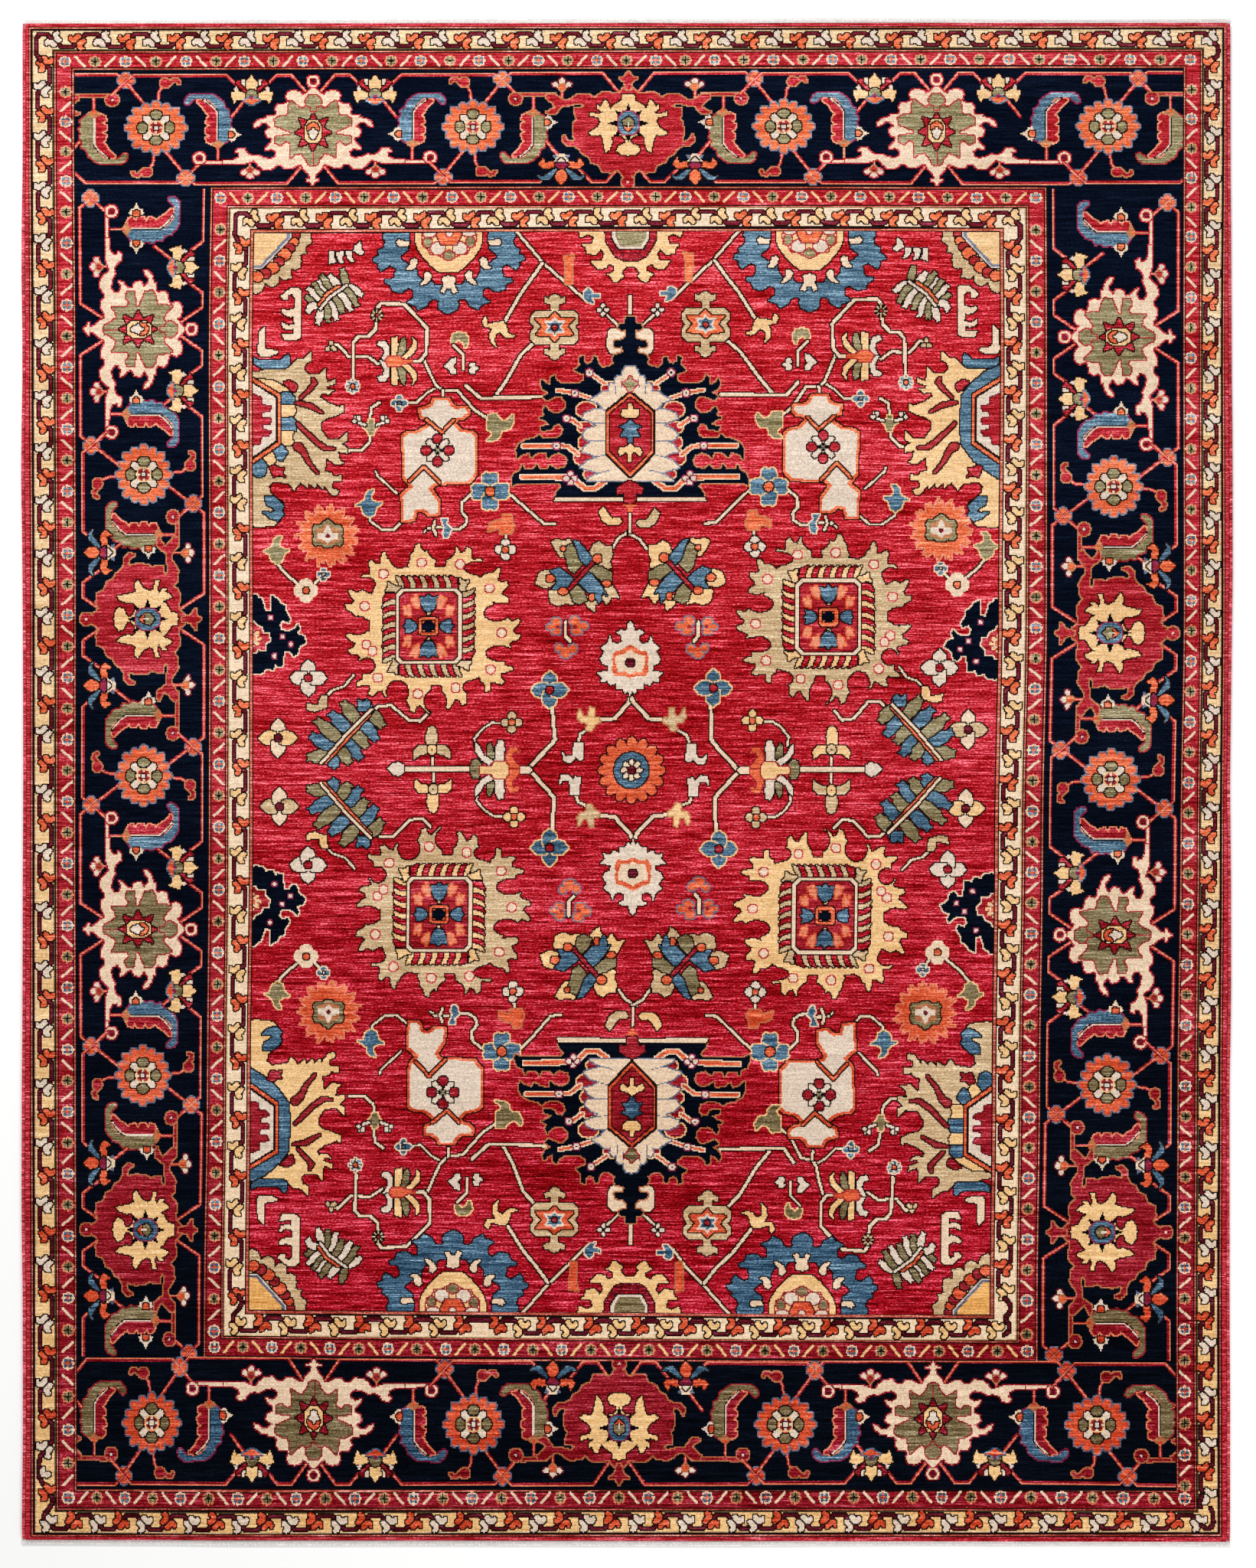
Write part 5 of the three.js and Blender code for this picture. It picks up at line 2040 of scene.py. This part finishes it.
# One copy at each step along the path, each in its own tone, then made real and given its finish
def strung(tree, start, end, copy, rotation, scale, core=None):
    path = addNode(tree, "GeometryNodeMeshToCurve", {0: start["Geometry"]})
    spaced = addNode(
        tree, "GeometryNodeResampleCurve", {"Curve": path, "Length": start["Pitch"]}, mode="LENGTH")
    placed = addNode(tree, "GeometryNodeInstanceOnPoints", {
        "Points": spaced, "Instance": copy, "Rotation": rotation, "Scale": scale})
    tone = addNode(tree, "FunctionNodeRandomValue", {"Seed": start["Seed"]}, data_type="FLOAT").outputs[1]
    toned = addNode(tree, "GeometryNodeStoreNamedAttribute", {
        "Geometry": placed, "Name": "yarnTone"}, data_type="FLOAT", domain="INSTANCE")
    feed(tree, toned.inputs["Value"], tone)
    joined = addNode(tree, "GeometryNodeJoinGeometry", {0: toned})
    if core:
        bundle = addNode(tree, "GeometryNodeCurveToMesh", {
            "Curve": path, "Profile Curve": core, "Scale": scale, "Fill Caps": True})
        feed(tree, joined.inputs[0], bundle)
    real = addNode(tree, "GeometryNodeRealizeInstances", {0: joined})
    finished = addNode(
        tree, "GeometryNodeSetMaterial", {"Geometry": real, "Material": start["Yarn Material"]})
    feed(tree, end[0], finished)


def wander(tree, start, middle, spread):
    chance = addNode(
        tree, "FunctionNodeRandomValue", {2: -spread, 3: spread, "Seed": start["Seed"]}, data_type="FLOAT")
    return maths(tree, "ADD", middle, chance.outputs[1])


# Selvedges: a bundle of warps wrapped in red wool down each side

selvedgeSize = dict(
    pitch=0.0031,
    halfWide=0.00295,
    halfHigh=0.00285,
    yarn=0.00095,
    yarnFlat=1.75,
    core=0.0031,
    lean=0.16,
    leanSpread=0.05,
    seed=11,
    sides=dict(turn=12, yarn=5, core=10),
    high=0.0039,  # of its middle over the floor
    out=0.0043,  # from the pile's edge to its middle
    endsAt=1.22,  # how far out the rug's ends are measured for its length
    short=0.002,
    taper=0.012,
    thinnest=0.8,
    steps=160,
)


def selvedgeTree():
    tree, start, end = newGroup("wrappedSelvedge", "GeometryNodeTree", [
        ("Geometry", "Geometry", None), ("Pitch", "Float", 0.003), ("Half Width", "Float", 0.003),
        ("Half Height", "Float", 0.003), ("Yarn", "Float", 0.001), ("Core", "Float", 0.003),
        ("Lean", "Float", 0.16), ("Seed", "Int", 11), ("Yarn Material", "Material", None),
    ], [("Geometry", "Geometry")])
    sides = selvedgeSize["sides"]

    def circle(piece, radius):
        return addNode(
            tree, "GeometryNodeCurvePrimitiveCircle", {"Resolution": sides[piece], "Radius": radius})

    size = addNode(tree, "ShaderNodeCombineXYZ", {0: start["Half Width"], 1: start["Half Height"], 2: 1.0})
    ringPath = addNode(tree, "GeometryNodeTransform", {"Geometry": circle("turn", 1.0), "Scale": size})
    flat = addNode(tree, "GeometryNodeTransform", {
        "Geometry": circle("yarn", start["Yarn"]), "Scale": (1.0, selvedgeSize["yarnFlat"], 1.0)})
    turnOfWool = addNode(tree, "GeometryNodeCurveToMesh", {"Curve": ringPath, "Profile Curve": flat})
    # the turns stand square to the selvedge, leaning a little
    tangent = addNode(tree, "GeometryNodeInputTangent", {})
    facing = addNode(tree, "FunctionNodeAlignRotationToVector", {"Vector": tangent}, axis="Z")
    leaning = wander(tree, start, start["Lean"], selvedgeSize["leanSpread"])
    lean = addNode(tree, "ShaderNodeCombineXYZ", {1: leaning})
    turned = addNode(tree, "FunctionNodeRotateRotation", {
        "Rotation": facing, "Rotate By": lean}, rotation_space="LOCAL")
    girth = addNode(tree, "GeometryNodeInputNamedAttribute", {"Name": "girth"}, data_type="FLOAT")
    strung(tree, start, end, turnOfWool, turned, girth, circle("core", start["Core"]))
    return tree


wrappedSelvedge = selvedgeTree()


def makeSelvedge(name, side):
    size = selvedgeSize
    foot, head = [float(pileEdgeY(end, side * size["endsAt"])) - end * size["short"] for end in (-1, 1)]
    ys = np.linspace(foot, head, size["steps"])
    xs = pileEdgeX(side, ys) + side * size["out"]
    full = np.clip(np.minimum(ys - foot, head - ys) / size["taper"], 0, 1)
    girth = full * (1 - size["thinnest"]) + size["thinnest"]
    points = [(float(x), float(y), size["high"]) for x, y in zip(xs, ys)]
    return alongPath(name, points, girth, wrappedSelvedge, {
        "Pitch": size["pitch"], "Half Width": size["halfWide"], "Half Height": size["halfHigh"],
        "Yarn": size["yarn"], "Core": size["core"], "Lean": size["lean"], "Seed": size["seed"] + side,
        "Yarn Material": overcastWool})


selvedges = dict(
    selvedge_left=makeSelvedge("selvedgeLeft", -1),
    selvedge_right=makeSelvedge("selvedgeRight", 1),
)
print("selvedges wrapped")


# Flatwoven cotton ends, each with two rows of slanting stitches

endSize = dict(
    wide=dict(kilimHead=0.0085, kilimFoot=0.011),
    thick=0.0022,
    gap=0.0003,  # from the pile
    across=120,
    along=4,
    rows=((0.3, 1), (0.72, -1)),  # of stitches: share of the width, and which way they slant
    pitch=0.0034,
    long=0.0021,
    round=0.0008,
    flat=0.8,
    slant=0.9,
    slantSpread=0.15,
    seed=5,
)


def stitchTree():
    tree, start, end = newGroup("slantingStitches", "GeometryNodeTree", [
        ("Geometry", "Geometry", None), ("Pitch", "Float", 0.003), ("Long", "Float", 0.002),
        ("Round", "Float", 0.0008), ("Slant", "Float", 0.9), ("Seed", "Int", 5),
        ("Yarn Material", "Material", None),
    ], [("Geometry", "Geometry")])
    bead = addNode(tree, "GeometryNodeMeshUVSphere", {"Segments": 7, "Rings": 5, "Radius": 1.0})
    flat = maths(tree, "MULTIPLY", start["Round"], endSize["flat"])
    size = addNode(tree, "ShaderNodeCombineXYZ", {0: start["Long"], 1: start["Round"], 2: flat})
    stitch = addNode(tree, "GeometryNodeTransform", {"Geometry": bead, "Scale": size})
    slanting = wander(tree, start, start["Slant"], endSize["slantSpread"])
    slant = addNode(tree, "ShaderNodeCombineXYZ", {2: slanting})
    girth = addNode(tree, "GeometryNodeInputNamedAttribute", {"Name": "girth"}, data_type="FLOAT")
    strung(tree, start, end, stitch, slant, girth)
    return tree


slantingStitches = stitchTree()


def makeKilimEnd(name, node, side):
    low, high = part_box(node)
    size = endSize
    wide = size["wide"][name]

    def corner(u, v):
        x = low.x + (high.x - low.x) * u
        return x, float(pileEdgeY(side, x)) + side * (size["gap"] + wide * (v if side > 0 else 1 - v))

    made = [closedSheet(name, corner, size["across"], size["along"], size["thick"], flatwovenCotton)]
    for k, (out, slant) in enumerate(size["rows"], 1):
        shares = np.linspace(0.001, 0.999, size["across"])
        places = [corner(u, out if side > 0 else 1 - out) for u in shares]
        points = [(float(x), float(y), size["thick"]) for x, y in places]
        made.append(alongPath("%sStitches%d" % (name, k), points, [1.0] * len(points), slantingStitches, {
            "Pitch": size["pitch"], "Long": size["long"], "Round": size["round"],
            "Slant": size["slant"] * slant, "Seed": size["seed"] + k, "Yarn Material": flatwovenCotton}))
    return made


kilimEnds = dict(
    kilim_end_top=makeKilimEnd("kilimHead", "kilim_end_top", 1),
    kilim_end_bottom=makeKilimEnd("kilimFoot", "kilim_end_bottom", -1),
)
print("ends woven")


# Each piece rides on the rug and stands for its solid, which is hidden
def dress(piece, node):
    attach(piece, "root")
    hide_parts(node)


for piece in (foundation, *pilePieces):
    dress(piece, "pile_rug")
for node, piece in selvedges.items():
    dress(piece, node)
for node, pieces in kilimEnds.items():
    for piece in pieces:
        dress(piece, node)
onSheet = [*pilePieces, *selvedges.values(), *kilimEnds["kilim_end_top"], *kilimEnds["kilim_end_bottom"]]


# Floor and light

roomSettings = dict(
    floor=dict(size=12.0, level=-0.0003, colour=(0.95, 0.95, 0.945, 1), roughness=0.8, specular=0.3),
    world=0.42,
    softboxes=dict(  # place, size and watts
        key=((-1.5, 3.6, 4.2), 3.0, 215.0),
        fill=((2.2, -3.4, 4.4), 3.5, 150.0),
    ),
)


def makeRoom(settings):
    floor = settings["floor"]
    half = floor["size"] / 2
    material, _, shader = newMaterial("paleFloor", floor)
    shader.inputs["Base Color"].default_value = floor["colour"]
    corners = (-half, -half), (half, -half), (half, half), (-half, half)
    points = [(x, y, floor["level"]) for x, y in corners]
    addPiece("floor", newMesh("floor", points, [], [(0, 1, 2, 3)], material))
    world = bpy.data.worlds.new("studio")
    world.use_nodes = True
    background = world.node_tree.nodes["Background"]
    background.inputs["Color"].default_value = (1, 1, 1, 1)
    background.inputs["Strength"].default_value = settings["world"]
    bpy.context.scene.world = world
    for name, (place, size, watts) in settings["softboxes"].items():
        light = bpy.data.lights.new(name + "Softbox", "AREA")
        light.energy = watts
        light.size = size
        lamp = addPiece(name + "Softbox", light)
        lamp.location = place
        lamp.rotation_euler = (-Vector(place)).to_track_quat("-Z", "Y").to_euler()
    bpy.context.scene.view_settings.view_transform = "Standard"


makeRoom(roomSettings)
